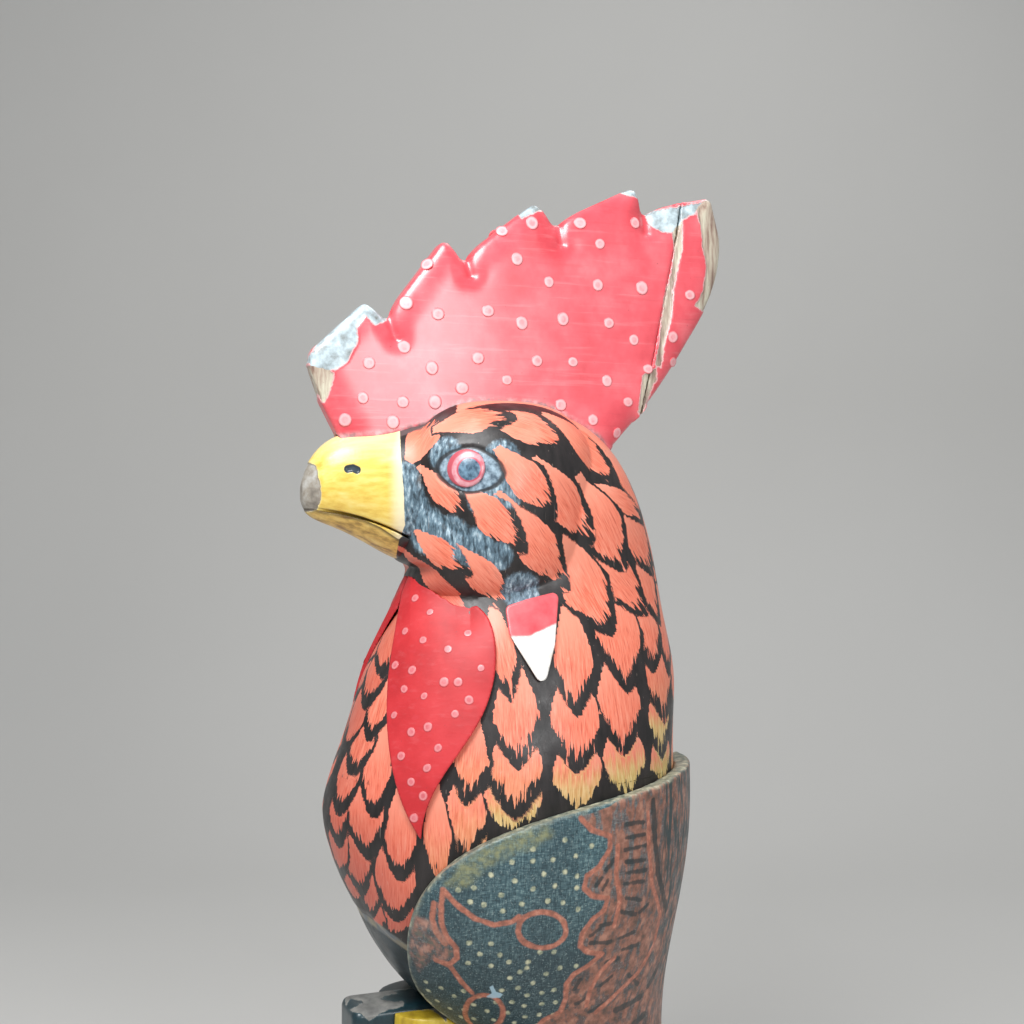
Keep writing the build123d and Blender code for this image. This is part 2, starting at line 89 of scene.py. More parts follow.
def onSkin(skin, pixel):
    ray = (
        sideways * (pixel[0] - photo["axisPixel"]) / photo["focal"]
        + upwards * (photo["eyePixel"] - pixel[1]) / photo["focal"]
        - towardsLens
    )
    place, normal, _, _ = skin.ray_cast(Vector(lensPlace), Vector(ray).normalized())
    if place is None:   # just past the outline: the nearest point of the surface
        middle = Vector(lensPlace) + Vector(ray) * photo["distance"]
        place, normal, _, _ = skin.find_nearest(middle)
    return np.array(place), np.array(normal)


def skinReach(points, skin):
    return np.array([skin.find_nearest(Vector(p))[3] for p in points]) / millimetre


def pointReach(points, marks):
    finder = KDTree(len(marks))
    for i, mark in enumerate(marks):
        finder.insert(mark, i)
    finder.balance()
    return np.array([finder.find(p)[2] for p in points]) / millimetre


def ramped(values, low, high):
    share = np.clip((values - low) / (high - low), 0, 1)
    return share * share * (3 - 2 * share)


def bell(values, half):
    return np.exp(-((values / half) ** 2))


def outlineDepth(pixels, outline):
    # signed distance into a closed outline drawn in photo pixels, positive inside
    corners = np.array(outline, float)
    nearest = np.full(len(pixels), 1e9)
    inside = np.zeros(len(pixels), bool)
    for a, b in zip(corners, np.roll(corners, -1, 0)):
        edge, reach = b - a, pixels - a
        share = np.clip(reach @ edge / max(edge @ edge, 1e-9), 0, 1)
        nearest = np.minimum(nearest, np.linalg.norm(reach - share[:, None] * edge, axis=1))
        crosses = (a[1] > pixels[:, 1]) != (b[1] > pixels[:, 1])
        level = edge[1] if abs(edge[1]) > 1e-9 else 1e-9
        inside ^= crosses & (pixels[:, 0] < a[0] + (pixels[:, 1] - a[1]) * edge[0] / level)
    return np.where(inside, nearest, -nearest)


def levelAt(values, pairs):
    return np.interp(values, *np.array(pairs).T)


def lineReach(points, line):
    # distance to a run of points, in the units of the points
    nearest = np.full(len(points), 1e9)
    for a, b in zip(np.array(line[:-1], float), np.array(line[1:], float)):
        edge, reach = b - a, points - a
        share = np.clip(reach @ edge / max(edge @ edge, 1e-12), 0, 1)
        nearest = np.minimum(nearest, np.linalg.norm(reach - share[:, None] * edge, axis=1))
    return nearest


# piece helpers
def added(name, data):
    made = bpy.data.objects.new(name, data)
    bpy.context.scene.collection.objects.link(made)
    return made


def carvedFrom(node, pieceName, voxel, rounds=0, hug=False):
    shape = bmesh.new()
    shape.from_mesh(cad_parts[node].data)
    bmesh.ops.remove_doubles(shape, verts=shape.verts, dist=1e-6)
    mesh = bpy.data.meshes.new(pieceName)
    shape.to_mesh(mesh)
    shape.free()
    piece = added(pieceName, mesh)
    remesh = piece.modifiers.new("remesh", "REMESH")
    remesh.mode = "VOXEL"
    remesh.voxel_size = voxel * millimetre
    if hug:
        wrap = piece.modifiers.new("wrap", "SHRINKWRAP")
        wrap.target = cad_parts[node]
    if rounds:
        soften = piece.modifiers.new("soften", "SMOOTH")
        soften.factor = 0.5
        soften.iterations = rounds
    plain(piece)
    return piece


def plain(piece):
    graph = bpy.context.evaluated_depsgraph_get()
    made = bpy.data.meshes.new_from_object(piece.evaluated_get(graph))
    made.name = piece.name
    piece.modifiers.clear()
    piece.data = made
    made.polygons.foreach_set("use_smooth", np.ones(len(made.polygons), bool))


def places(piece):
    flat = np.empty(len(piece.data.vertices) * 3, np.float32)
    piece.data.vertices.foreach_get("co", flat)
    return flat.reshape(-1, 3).astype(float)


def facings(piece):
    flat = np.empty(len(piece.data.vertices) * 3, np.float32)
    piece.data.vertex_normals.foreach_get("vector", flat)
    return flat.reshape(-1, 3).astype(float)


def putPlaces(piece, points):
    piece.data.vertices.foreach_set("co", points.astype(np.float32).ravel())
    piece.data.update()


def shift(piece, amounts):
    putPlaces(piece, places(piece) + facings(piece) * (amounts * millimetre)[:, None])


def setField(piece, name, *columns):
    kind, key = ("FLOAT", "value") if len(columns) == 1 else ("FLOAT_VECTOR", "vector")
    field = piece.data.attributes.new(name, kind, "POINT")
    field.data.foreach_set(key, np.stack(columns, 1).astype(np.float32).ravel())


def leftward(points):
    # the right side carries the same drawing, mirrored
    mirrored = points.copy()
    mirrored[:, 0] = np.abs(mirrored[:, 0])
    return mirrored


def dress(piece, material, slot, *nodes):
    piece.data.materials.clear()
    piece.data.materials.append(material)
    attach(piece, "root")
    if nodes:
        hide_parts(*nodes)


# shader helpers
def rgb(red, green, blue):
    shares = [c / 255 for c in (red, green, blue)]
    linear = [c / 12.92 if c < 0.04045 else ((c + 0.055) / 1.055) ** 2.4 for c in shares]
    return (*linear, 1.0)


class Shader:
    def __init__(self, name, roughness=0.35, coat=0.0):
        self.material = bpy.data.materials.new(name)
        self.material.use_nodes = True
        self.tree = self.material.node_tree
        self.surface = self.tree.nodes["Principled BSDF"]
        self.surface.inputs["Roughness"].default_value = roughness
        self.surface.inputs["Coat Weight"].default_value = coat
        self.surface.inputs["Coat Roughness"].default_value = 0.2
        self.place = self.tree.nodes.new("ShaderNodeTexCoord").outputs["Object"]

    def put(self, socket, value):
        if isinstance(value, bpy.types.NodeSocket):
            self.tree.links.new(value, socket)
        else:
            socket.default_value = value

    def field(self, name):
        node = self.tree.nodes.new("ShaderNodeAttribute")
        node.attribute_name = name
        return node.outputs["Fac"]

    def vector(self, name):
        node = self.tree.nodes.new("ShaderNodeAttribute")
        node.attribute_name = name
        return node.outputs["Vector"]

    def fields(self, name):
        parts = self.tree.nodes.new("ShaderNodeSeparateXYZ")
        self.tree.links.new(self.vector(name), parts.inputs[0])
        return parts.outputs

    def math(self, operation, a, b=0.0):
        node = self.tree.nodes.new("ShaderNodeMath")
        node.operation = operation
        self.put(node.inputs[0], a)
        self.put(node.inputs[1], b)
        return node.outputs[0]

    def times(self, a, b):
        return self.math("MULTIPLY", a, b)

    def less(self, a, b):
        return self.math("SUBTRACT", a, b)

    def jitter(self, value, amount, scale, detail=3):
        # a field with its level pushed about by noise
        wander = self.less(self.noise(scale, detail), 0.5)
        return self.math("ADD", value, self.times(wander, amount))

    def span(self, value, low, high, toLow=0.0, toHigh=1.0):
        node = self.tree.nodes.new("ShaderNodeMapRange")
        node.interpolation_type = "SMOOTHSTEP"
        ends = {"From Min": low, "From Max": high, "To Min": toLow, "To Max": toHigh}
        for name, given in {**ends, "Value": value}.items():
            self.put(node.inputs[name], given)
        return node.outputs["Result"]

    def noise(self, scale, detail=2, vector=None):
        node = self.tree.nodes.new("ShaderNodeTexNoise")
        node.inputs["Scale"].default_value = scale
        node.inputs["Detail"].default_value = detail
        node.inputs["Roughness"].default_value = 0.58
        self.put(node.inputs["Vector"], vector or self.place)
        return node.outputs["Fac"]

    def grain(self, stretch, detail, vector=None, turn=(0, 0, 0)):
        # noise with a scale of its own along each axis
        mapped = self.tree.nodes.new("ShaderNodeMapping")
        mapped.inputs["Scale"].default_value = stretch
        mapped.inputs["Rotation"].default_value = turn
        self.put(mapped.inputs["Vector"], vector or self.place)
        return self.noise(1.0, detail, mapped.outputs["Vector"])

    def mix(self, share, first, second):
        node = self.tree.nodes.new("ShaderNodeMix")
        node.data_type = "RGBA"
        self.put(node.inputs[0], share)
        self.put(node.inputs[6], first)
        self.put(node.inputs[7], second)
        return node.outputs[2]

    def tones(self, share, *stops):
        node = self.tree.nodes.new("ShaderNodeValToRGB")
        ramp = node.color_ramp
        for end in (0, -1):
            position, *tone = stops[end]
            ramp.elements[end].position, ramp.elements[end].color = position, rgb(*tone)
        for position, *tone in stops[1:-1]:
            ramp.elements.new(position).color = rgb(*tone)
        self.put(node.inputs["Fac"], share)
        return node.outputs["Color"]

    def relief(self, height, strength, depth=0.0004):
        node = self.tree.nodes.new("ShaderNodeBump")
        node.inputs["Strength"].default_value = strength
        node.inputs["Distance"].default_value = depth
        self.put(node.inputs["Height"], height)
        before = self.surface.inputs["Normal"]
        if before.is_linked:
            self.tree.links.new(before.links[0].from_socket, node.inputs["Normal"])
        self.tree.links.new(node.outputs["Normal"], before)

    def done(self, color, roughness=None):
        self.put(self.surface.inputs["Base Color"], color)
        if roughness is not None:
            self.put(self.surface.inputs["Roughness"], roughness)
        return self.material

    def worn(self, paint, chip, bareShare, ground, wood, rimTone):
        # paint over a pale ground, with wood where the ground is gone too
        ragged = self.jitter(chip, 2.0, 420, 4)
        gone = self.span(ragged, -0.10, 0.10)
        rim = self.times(self.span(ragged, -0.6, -0.1), self.less(1.0, gone))
        groundTone = self.tones(self.noise(210, 6), *ground)
        woodTone = self.tones(self.grain((520, 520, 60), 5), *wood)
        bare = self.mix(self.span(bareShare, 0.35, 0.65), groundTone, woodTone)
        self.relief(self.less(1.0, gone), 0.6, 0.0005)
        return self.mix(gone, self.mix(self.times(rim, 0.6), paint, rimTone), bare), gone


# stops of the tone ramps: position, red, green, blue
paleGround = (
    (0.3, 112, 112, 106), (0.46, 168, 184, 190), (0.6, 206, 224, 230), (0.74, 232, 244, 246),
)
greyGround = ((0.3, 98, 98, 96), (0.5, 124, 124, 121), (0.7, 146, 145, 140))
hornGround = ((0.3, 104, 96, 88), (0.5, 160, 152, 140), (0.7, 196, 196, 192))
oldWood = ((0.32, 136, 106, 92), (0.46, 186, 166, 148), (0.6, 214, 206, 184), (0.74, 232, 232, 210))


def featherColor(s):
    plume = s.fields("plume")    # distance into the feather, raggedness, share of its length
    vane = s.vector("vane")    # across, along, feather number
    tint = s.fields("tint")    # fade to cream, deep red with the painted shade of the lower breast, slate
    place = s.fields("place")    # lids round the eye, reach below the belly line, comb seam
    streak = s.grain((0.85, 0.10, 9.0), 2, vane)
    fine = s.grain((2.4, 0.16, 5.0), 3, vane)
    wobble = s.math("ADD", s.less(streak, 0.565), s.times(s.less(fine, 0.5), 0.55))
    inside = s.span(s.math("ADD", plume[0], s.times(wobble, plume[1])), -0.10, 0.14)
    orange = s.tones(fine, (0.28, 206, 90, 68), (0.46, 242, 126, 98), (0.72, 252, 160, 134))
    warm = s.mix(s.span(plume[2], 0.1, 0.7), rgb(248, 154, 128), orange)
    cream = s.tones(fine, (0.35, 206, 170, 92), (0.65, 236, 218, 154))
    reach = s.math("ADD", plume[2], s.times(wobble, 0.5))
    faded = s.mix(s.times(tint[0], s.span(reach, 0.36, 0.78)), warm, cream)
    deep = s.mix(tint[1], faded, rgb(186, 74, 62))
    mottled = s.mix(s.span(s.noise(70, 4), 0.55, 0.75, 0, 0.35), deep, rgb(250, 176, 152))
    dark = s.tones(s.grain((260, 260, 60), 3), (0.3, 22, 20, 20), (0.7, 48, 42, 42))
    brushed = s.grain((800, 800, 260), 5, turn=(0.3, 0, 0))
    # slate paint, its palest tone a painted sheen
    slate = s.tones(brushed, (0.36, 50, 66, 76), (0.54, 108, 134, 150), (0.68, 186, 208, 218))
    shadow = s.mix(s.span(s.jitter(s.jitter(tint[2], 0.5, 160), 0.7, 900), 0.25, 0.8), dark, slate)
    color = s.mix(inside, shadow, mottled)
    below = s.jitter(place[1], 0.8, 240)
    edging = s.tones(s.noise(120, 3), (0.4, 108, 116, 122), (0.6, 150, 140, 116))
    teal = s.tones(s.noise(160, 4), (0.35, 14, 28, 34), (0.7, 38, 58, 66))
    color = s.mix(s.span(below, -1.6, -1.0), color, edging)
    color = s.mix(s.span(below, -0.2, 0.4), color, teal)
    lid = s.jitter(place[0], 0.05, 500, 2)
    # the eye socket in pale slate: slate paint lightened by a painted sheen
    socket = s.tones(s.noise(420, 3), (0.35, 80, 100, 116), (0.65, 166, 190, 206))
    color = s.mix(s.span(lid, 1.02, 0.94), color, socket)
    lidLine = s.math("ABSOLUTE", s.less(lid, 1.0))
    color = s.mix(s.span(lidLine, 0.10, 0.03, 0, 0.9), color, rgb(28, 30, 34))
    color = s.mix(s.span(s.jitter(place[2], 0.8, 300), 1.2, 0.4, 0, 0.85), color, rgb(96, 88, 88))
    scuff = s.span(s.grain((1500, 1500, 60), 2, turn=(0.25, 0.1, 0)), 0.7, 0.74, 0, 0.28)
    color = s.mix(scuff, color, rgb(222, 200, 188))
    s.relief(fine, 0.12, 0.0003)
    s.relief(s.noise(800, 3), 0.14, 0.0002)
    s.relief(s.times(brushed, tint[2]), 0.35, 0.0003)
    s.relief(inside, 0.2, 0.0002)
    return color


def featherPaint():
    s = Shader("featherPaint", 0.4, coat=0.1)
    return s.done(featherColor(s), s.span(s.noise(140, 3), 0.3, 0.7, 0.34, 0.5))


def redPaint(name, low, middle, high, coat, streaks):
    s = Shader(name, 0.34, coat=coat)
    s.surface.inputs["Coat Roughness"].default_value = 0.26
    wear = s.fields("wear")    # chip depth, bare wood, nearness of a seam
    grain = s.grain((300, 30, 560), 4)
    red = s.tones(s.noise(60, 5), (0.28, *low), (0.5, *middle), (0.72, *high))
    streaked = s.mix(s.span(grain, 0.54, 0.72, 0, streaks), red, rgb(250, 176, 180))
    brushed = s.mix(s.span(grain, 0.42, 0.3, 0, 0.3), streaked, rgb(206, 62, 74))
    seam = s.times(wear[2], s.span(s.noise(300, 4), 0.35, 0.6, 0.3, 0.95))
    soil = s.tones(s.noise(260, 3), (0.4, 150, 118, 120), (0.6, 232, 170, 172))
    soiled = s.mix(seam, brushed, soil)
    color, gone = s.worn(soiled, wear[0], wear[1], paleGround, oldWood, rgb(240, 232, 228))
    color = s.mix(s.span(s.noise(640, 2), 0.73, 0.77, 0, 0.45), color, rgb(150, 56, 60))
    s.relief(grain, 0.2, 0.0003)
    s.relief(s.noise(500, 3), 0.08, 0.0002)
    gloss = 0.34 if coat else 0.5
    return s.done(color, s.mix(gone, (gloss, gloss, gloss, 1), (0.6, 0.6, 0.6, 1)))


def beakPaint():
    s = Shader("beakPaint", 0.3, coat=0.25)
    wear = s.fields("wear")    # chip depth, nearness of the nostril, painted highlight in cream at the back and top
    below = s.field("below")    # reach below the mouth line
    grain = s.grain((420, 36, 420), 4)
    yellow = s.tones(grain, (0.28, 228, 184, 74), (0.5, 246, 214, 104), (0.72, 252, 230, 142))
    # painted highlight: cream along the back and the top of the beak
    yellowWithHighlight = s.mix(wear[2], yellow, rgb(252, 246, 220))
    ochre = s.tones(grain, (0.34, 168, 130, 64), (0.52, 234, 198, 104), (0.7, 250, 222, 134))
    lowered = s.mix(s.span(s.jitter(below, 0.5, 300), 0.1, 0.5), yellowWithHighlight, ochre)
    stain = s.times(s.span(below, -1.6, 0.0), s.span(s.noise(260, 4), 0.5, 0.7, 0, 0.3))
    stained = s.mix(stain, lowered, rgb(150, 112, 48))
    color, gone = s.worn(stained, wear[0], 0.0, hornGround, oldWood, rgb(240, 226, 180))
    # the dark mouth line, with a painted shadow of the upper beak fading down below it
    mouth = s.times(s.span(below, 1.6, 0.2, 0, 0.8), s.span(below, -0.2, 0.1))
    color = s.mix(mouth, color, rgb(60, 46, 28))
    color = s.mix(s.span(s.jitter(wear[1], 0.3, 500), 1.6, 1.3), color, rgb(52, 66, 74))
    s.relief(grain, 0.16, 0.0003)
    behind = s.jitter(s.field("behind"), 0.5, 260)
    color = s.mix(s.span(behind, -0.15, 0.15), color, featherColor(s))
    return s.done(color, s.mix(gone, (0.3, 0.3, 0.3, 1), (0.5, 0.5, 0.5, 1)))


def wingDye():
    s = Shader("wingDye", 0.46, coat=0.12)
    wear = s.fields("wear")    # reach from the rim, reach from drawn lines, reach from dots
    drawn = s.fields("drawn")    # rust field, reach from dark bars, hatching
    dust = s.fields("dust")    # pink wear at the front, yellow dust, share of the height for the painted shade low on the wing
    warp, weft = s.grain((500, 2000, 420), 1), s.grain((500, 420, 2000), 1)
    cloth = s.times(s.math("ADD", warp, weft), 0.5)
    teal = s.tones(cloth, (0.34, 38, 62, 70), (0.52, 72, 104, 112), (0.7, 130, 158, 160))
    shade = s.mix(s.span(s.noise(40, 3), 0.35, 0.7, 0, 0.5), teal, rgb(40, 60, 68))
    # painted shade: the wing darkens towards its lower end
    paintedShadeLow = s.mix(s.span(dust[2], 0.85, 0.4, 0, 0.65), shade, rgb(30, 46, 52))
    specked = s.mix(s.span(s.noise(1500, 1), 0.6, 0.72, 0, 0.5), paintedShadeLow, rgb(150, 168, 166))
    dotTone = s.tones(s.noise(600, 2), (0.35, 146, 154, 128), (0.6, 216, 214, 180))
    dotted = s.mix(s.span(s.jitter(wear[2], 0.9, 620), 0.35, -0.35, 0, 0.9), specked, dotTone)
    dustShare = s.times(dust[1], s.span(s.noise(420, 5), 0.34, 0.7, 0.15, 0.75))
    dusty = s.mix(dustShare, dotted, rgb(160, 160, 112))
    strokes = s.span(s.grain((520, 330, 120), 3, turn=(0.5, 0, 0)), 0.4, 0.54, 0.3, 0.95)
    rust = s.tones(s.noise(300, 4), (0.32, 98, 76, 64), (0.5, 152, 102, 84), (0.7, 190, 136, 114))
    rustShare = s.times(s.span(s.jitter(drawn[0], 0.5, 380), 0.35, 0.65), strokes)
    rusty = s.mix(rustShare, dusty, rust)
    hatch = s.span(s.grain((520, 520, 70), 3, turn=(0.25, 0, 0)), 0.47, 0.56)
    hatched = s.mix(s.times(hatch, drawn[2]), rusty, rgb(52, 68, 70))
    barShare = s.span(s.jitter(drawn[1], 1.4, 300), 0.3, -0.3, 0, 0.8)
    barred = s.mix(barShare, hatched, rgb(36, 48, 50))
    blotches = s.noise(460, 3)
    lineTone = s.tones(blotches, (0.34, 152, 94, 76), (0.56, 196, 120, 96), (0.72, 220, 154, 130))
    lined = s.mix(s.span(s.jitter(wear[1], 0.9, 300), 0.4, -0.35, 0, 0.9), barred, lineTone)
    blotches = s.noise(260, 4)
    pink = s.tones(blotches, (0.36, 112, 104, 92), (0.5, 166, 116, 100), (0.68, 196, 150, 132))
    rubbed = s.grain((420, 420, 150), 4, turn=(0.4, 0, 0))
    faded = s.mix(s.times(dust[0], s.span(rubbed, 0.36, 0.58, 0.2, 0.9)), lined, pink)
    smudge = s.span(s.jitter(s.field("smudge"), 0.6, 500), -0.2, 0.2, 0, 0.85)
    faded = s.mix(smudge, faded, rgb(176, 206, 222))
    blotches = s.noise(380, 4)
    rimTone = s.tones(blotches, (0.34, 92, 104, 98), (0.52, 150, 152, 132), (0.7, 206, 204, 178))
    rimmed = s.mix(s.span(s.jitter(wear[0], 3.2, 260, 5), 2.6, 0.6, 0, 0.9), faded, rimTone)
    s.relief(cloth, 0.3, 0.0003)
    return s.done(rimmed, s.span(s.noise(200, 3), 0.3, 0.7, 0.36, 0.55))


def eyePaint():
    s = Shader("eyePaint", 0.3, coat=0.3)
    ring = s.jitter(s.field("ring"), 0.07, 500, 2)
    iris = s.tones(s.noise(360, 3), (0.3, 214, 112, 124), (0.7, 238, 186, 194))
    pupil = s.tones(s.noise(520, 3), (0.3, 48, 72, 92), (0.7, 126, 160, 184))
    color = s.mix(s.span(ring, 0.53, 0.59), pupil, rgb(206, 84, 100))
    color = s.mix(s.span(ring, 0.6, 0.68), color, iris)
    color = s.mix(s.span(ring, 0.86, 0.94), color, rgb(196, 84, 98))
    s.relief(s.noise(600, 2), 0.08, 0.0002)
    return s.done(color)


def lobePaint():
    s = Shader("lobePaint", 0.34, coat=0.2)
    wear = s.fields("wear")    # chip depth, bare wood, nearness of a seam
    white = s.tones(s.noise(180, 4), (0.3, 228, 224, 214), (0.55, 248, 247, 243))
    red = s.tones(s.noise(140, 4), (0.3, 222, 76, 86), (0.7, 244, 116, 122))
    color = s.mix(s.span(s.jitter(s.field("white"), 1.4, 260), -0.6, 0.6), red, white)
    rim = s.times(wear[2], s.span(s.noise(220, 3), 0.4, 0.6))
    color = s.mix(rim, color, rgb(206, 104, 98))
    color = s.mix(s.span(s.noise(420, 2), 0.74, 0.78, 0, 0.6), color, rgb(120, 70, 56))
    s.relief(s.noise(400, 3), 0.1, 0.0002)
    return s.done(color)


def tealPaint(name):
    s = Shader(name, 0.34, coat=0.2)
    wear = s.fields("wear")    # chip depth, bare wood, nearness of a seam
    tone = s.grain((140, 140, 60), 4)
    teal = s.tones(tone, (0.3, 14, 34, 40), (0.55, 24, 50, 58), (0.78, 50, 80, 88))
    color, gone = s.worn(teal, wear[0], wear[1], greyGround, oldWood, rgb(60, 84, 90))
    s.relief(s.grain((600, 600, 90), 3), 0.15, 0.0003)
    return s.done(color, s.mix(gone, (0.34, 0.34, 0.34, 1), (0.65, 0.65, 0.65, 1)))


def legPaint():
    s = Shader("legPaint", 0.4, coat=0.15)
    wear = s.fields("wear")    # chip depth, bare wood, nearness of a seam
    tone = s.grain((220, 220, 70), 4)
    yellow = s.tones(tone, (0.3, 150, 122, 30), (0.55, 196, 168, 46), (0.78, 220, 196, 86))
    color, gone = s.worn(yellow, wear[0], wear[1], greyGround, oldWood, rgb(206, 190, 120))
    color = s.mix(s.field("top"), color, rgb(20, 42, 48))
    s.relief(s.grain((500, 500, 120), 3), 0.2, 0.0003)
    return s.done(color, s.mix(gone, (0.4, 0.4, 0.4, 1), (0.65, 0.65, 0.65, 1)))


def bareWood():
    s = Shader("bareWood", 0.6)
    grain = s.grain((520, 60, 520), 5)
    color = s.tones(grain, (0.3, 150, 112, 74), (0.5, 196, 160, 116), (0.72, 222, 194, 152))
    s.relief(grain, 0.25, 0.0003)
    return s.done(color, s.span(grain, 0.3, 0.7, 0.5, 0.7))


def screwSteel():
    s = Shader("screwSteel", 0.35)
    s.surface.inputs["Metallic"].default_value = 1.0
    scratch = s.grain((900, 900, 160), 3)
    color = s.tones(scratch, (0.3, 112, 110, 106), (0.7, 178, 176, 170))
    s.relief(scratch, 0.15, 0.0002)
    return s.done(color, s.span(scratch, 0.3, 0.7, 0.28, 0.5))


def spotPaint(name, low, high, ring, rim):
    s = Shader(name, 0.36, coat=0.2)
    local = s.fields("drop")    # place in the dot, its edge at one
    square = s.math("ADD", s.times(local[0], local[0]), s.times(local[1], local[1]))
    edge = s.jitter(s.math("SQRT", square), 0.3, 420)
    middle = s.tones(s.noise(420, 3), (0.34, *low), (0.6, *high))
    color = s.mix(s.span(edge, 0.3, 0.6), middle, rgb(*ring))
    color = s.mix(s.span(edge, 0.66, 1.0), color, rgb(*rim))
    s.relief(s.noise(520, 3), 0.15, 0.0002)
    return s.done(color)


# plumage: each feather is (root pixel, tip pixel, half width in pixels, fade to cream, deep red)
plumage = {
    "head": [
        ((415, 452), (437, 419), 15, 0, 0),
        ((448, 424), (503, 417), 21, 0, 0),
        ((498, 419), (560, 441), 23, 0, 0),
        ((562, 424), (611, 474), 24, 0, 0),
        ((509, 460), (548, 508), 19, 0, 0),
        ((547, 475), (586, 534), 21, 0, 0),
        ((428, 476), (464, 514), 13, 0, 0),
        ((474, 498), (517, 543), 19, 0, 0),
        ((513, 513), (560, 580), 22, 0, 0),
        ((586, 494), (620, 560), 22, 0, 0),
        ((604, 490), (643, 517), 13, 0, 0),
        ((627, 514), (656, 564), 12, 0, 0),
        ((423, 539), (460, 568), 16, 0, 0),
        ((466, 558), (505, 600), 18, 0, 0),
        ((571, 555), (607, 624), 21, 0, 0),
        ((604, 558), (641, 606), 17, 0, 0),
        ((413, 562), (466, 612), 13, 0, 0.5),
    ],
    "hackle": [
        ((641, 560), (657, 614), 10, 0, 0),
        ((612, 592), (627, 680), 23, 0, 0),
        ((570, 624), (577, 704), 19, 0, 0),
        ((641, 602), (652, 660), 16, 0, 0),
        ((655, 648), (664, 710), 14, 0.1, 0),
        ((659, 602), (668, 664), 9, 0, 0.1),
        ((616, 670), (624, 742), 23, 0, 0),
        ((574, 684), (577, 760), 25, 0, 0),
        ((515, 682), (518, 755), 23, 0, 0),
        ((496, 622), (509, 688), 14, 0, 0),
        ((658, 692), (662, 746), 13, 0.9, 0),
        ((622, 735), (628, 795), 25, 0.95, 0),
        ((577, 745), (578, 810), 27, 0.75, 0),
        ((516, 735), (516, 805), 27, 0.2, 0),
        ((474, 734), (468, 792), 17, 0.15, 0.1),
        ((512, 775), (514, 832), 32, 0.85, 0),
        ((466, 785), (462, 852), 22, 0.25, 0),
        ((660, 738), (664, 782), 13, 1.0, 0),
        ((436, 806), (440, 884), 15, 0.2, 0),
        ((477, 812), (462, 868), 18, 0.85, 0),
    ],
    "breast": [
        ((398, 612), (384, 666), 9, 0, 0.35),
        ((384, 650), (368, 696), 10, 0, 0.4),
        ((384, 684), (372, 728), 11, 0, 0),
        ((366, 690), (346, 742), 9, 0, 0.5),
        ((368, 712), (354, 764), 12, 0, 0.15),
        ((380, 742), (374, 804), 14, 0, 0),
        ((354, 752), (340, 802), 12, 0, 0.35),
        ((342, 790), (334, 834), 10, 0, 0.5),
        ((368, 786), (364, 846), 19, 0, 0),
        ((402, 806), (400, 868), 17, 0, 0),
        ((354, 822), (352, 886), 17, 0, 0.25),
        ((396, 848), (394, 910), 21, 0, 0.2),
        ((338, 826), (332, 870), 10, 0, 0.55),
        ((366, 870), (364, 912), 12, 0, 0.5),
        ((394, 884), (389, 932), 22, 0, 0.55),
        ((346, 864), (345, 900), 11, 0, 0.55),
        ((366, 898), (374, 930), 12, 0, 0.6),
    ],
    "rootShare": {"head": 0.24, "hackle": 0.34, "breast": 0.5},
    "tipRag": {"head": 12.0, "hackle": 12.0, "breast": 7.0},
    "tipShape": {"head": 1.7, "hackle": 1.45, "breast": 2.0},     # low is pointed, high is blunt
    "fullness": {"head": 1.0, "hackle": 1.02, "breast": 1.04},
    "sideRag": 1.2,
    "rootStretch": 0.3,         # how far each root runs on under the feather above
    "widest": 0.64,             # where along the feather
    "seamFill": 9.0,            # reach of the orange along the foot of the comb
    "seamStart": 456,           # the pixel it starts at
    "seamDepth": 0.6,
    "flow": 0.7,                # share of the way back in the order of the feathers
    "tipStart": 0.74,
    "tipRange": (0.42, 0.85),   # where the edge turns ragged
    "rise": 1.4,                # how the sides swell from the root
    "tipLean": 0.7,
    "bare": -3.0,               # depth where no feather is
    "reach": 1.5,               # lengths from the root that are looked at
    "leastTurn": 0.15,
    "leastFacing": 0.45,
    "grainStep": 1.7,           # sets each feather's strokes apart
    "rimReach": 2.5,
    "rearTurn": 0.3,
    "shadeShare": 0.62,
    "wander": 1.2,              # how far the far side's feathers stray
    "wanderWidth": (0.9, 1.1),
    "crossing": 6.0,            # how far past the middle a feather may run
    "breastShade": ((350, 470), (690, 930)),
    "sideEdge": 1.0,            # dark edge at the sides and at the tip, millimetres
    "tipEdge": 3.6,
    "napeLevels": (0.302, 0.285, 0.268, 0.251, 0.234, 0.217, 0.202),
    "napeStep": 15.0,           # degrees between the feathers down the nape
    "napeHalf": 8.5,
    "napeLength": 0.021,
    "napeFade": (0.22, 0.8),    # level below which they fade, and how far
    "castFrom": 0.3,
    "slate": [
        ((470, 470), 13), ((444, 452), 7), ((502, 456), 7), ((506, 492), 7), ((404, 476), 6),
        ((404, 494), 8), ((408, 514), 10), ((426, 530), 10), ((450, 538), 9), ((474, 548), 8),
        ((498, 556), 6), ((520, 590), 8), ((486, 500), 7),
    ],
    "slateEdge": (0.55, 1.15),
    "bellyLine": [(340, 910), (366, 920), (410, 953), (460, 1000)],
    "bellySlope": 0.64,         # share of an upright step that crosses the line
}
birdSkin = nodeSkin("head_and_neck", "trunk", "beak")
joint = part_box("head_and_neck")[0][2]


def featherFrom(kind, root, tip, normal, half, fade, deep, order):
    along = tip - root
    length = np.linalg.norm(along)
    along = along / length
    across = np.cross(normal, along)
    across /= np.linalg.norm(across)
    return {
        "kind": kind,
        "begin": root - along * length * plumage["rootStretch"],
        "along": along,
        "across": across,
        "normal": normal,
        "length": length * (1 + plumage["rootStretch"]) / millimetre,
        "half": half,
        "fade": fade,
        "deep": deep,
        "order": order,
        "side": np.sign(normal[0]) if order < 0 else 0,
    }


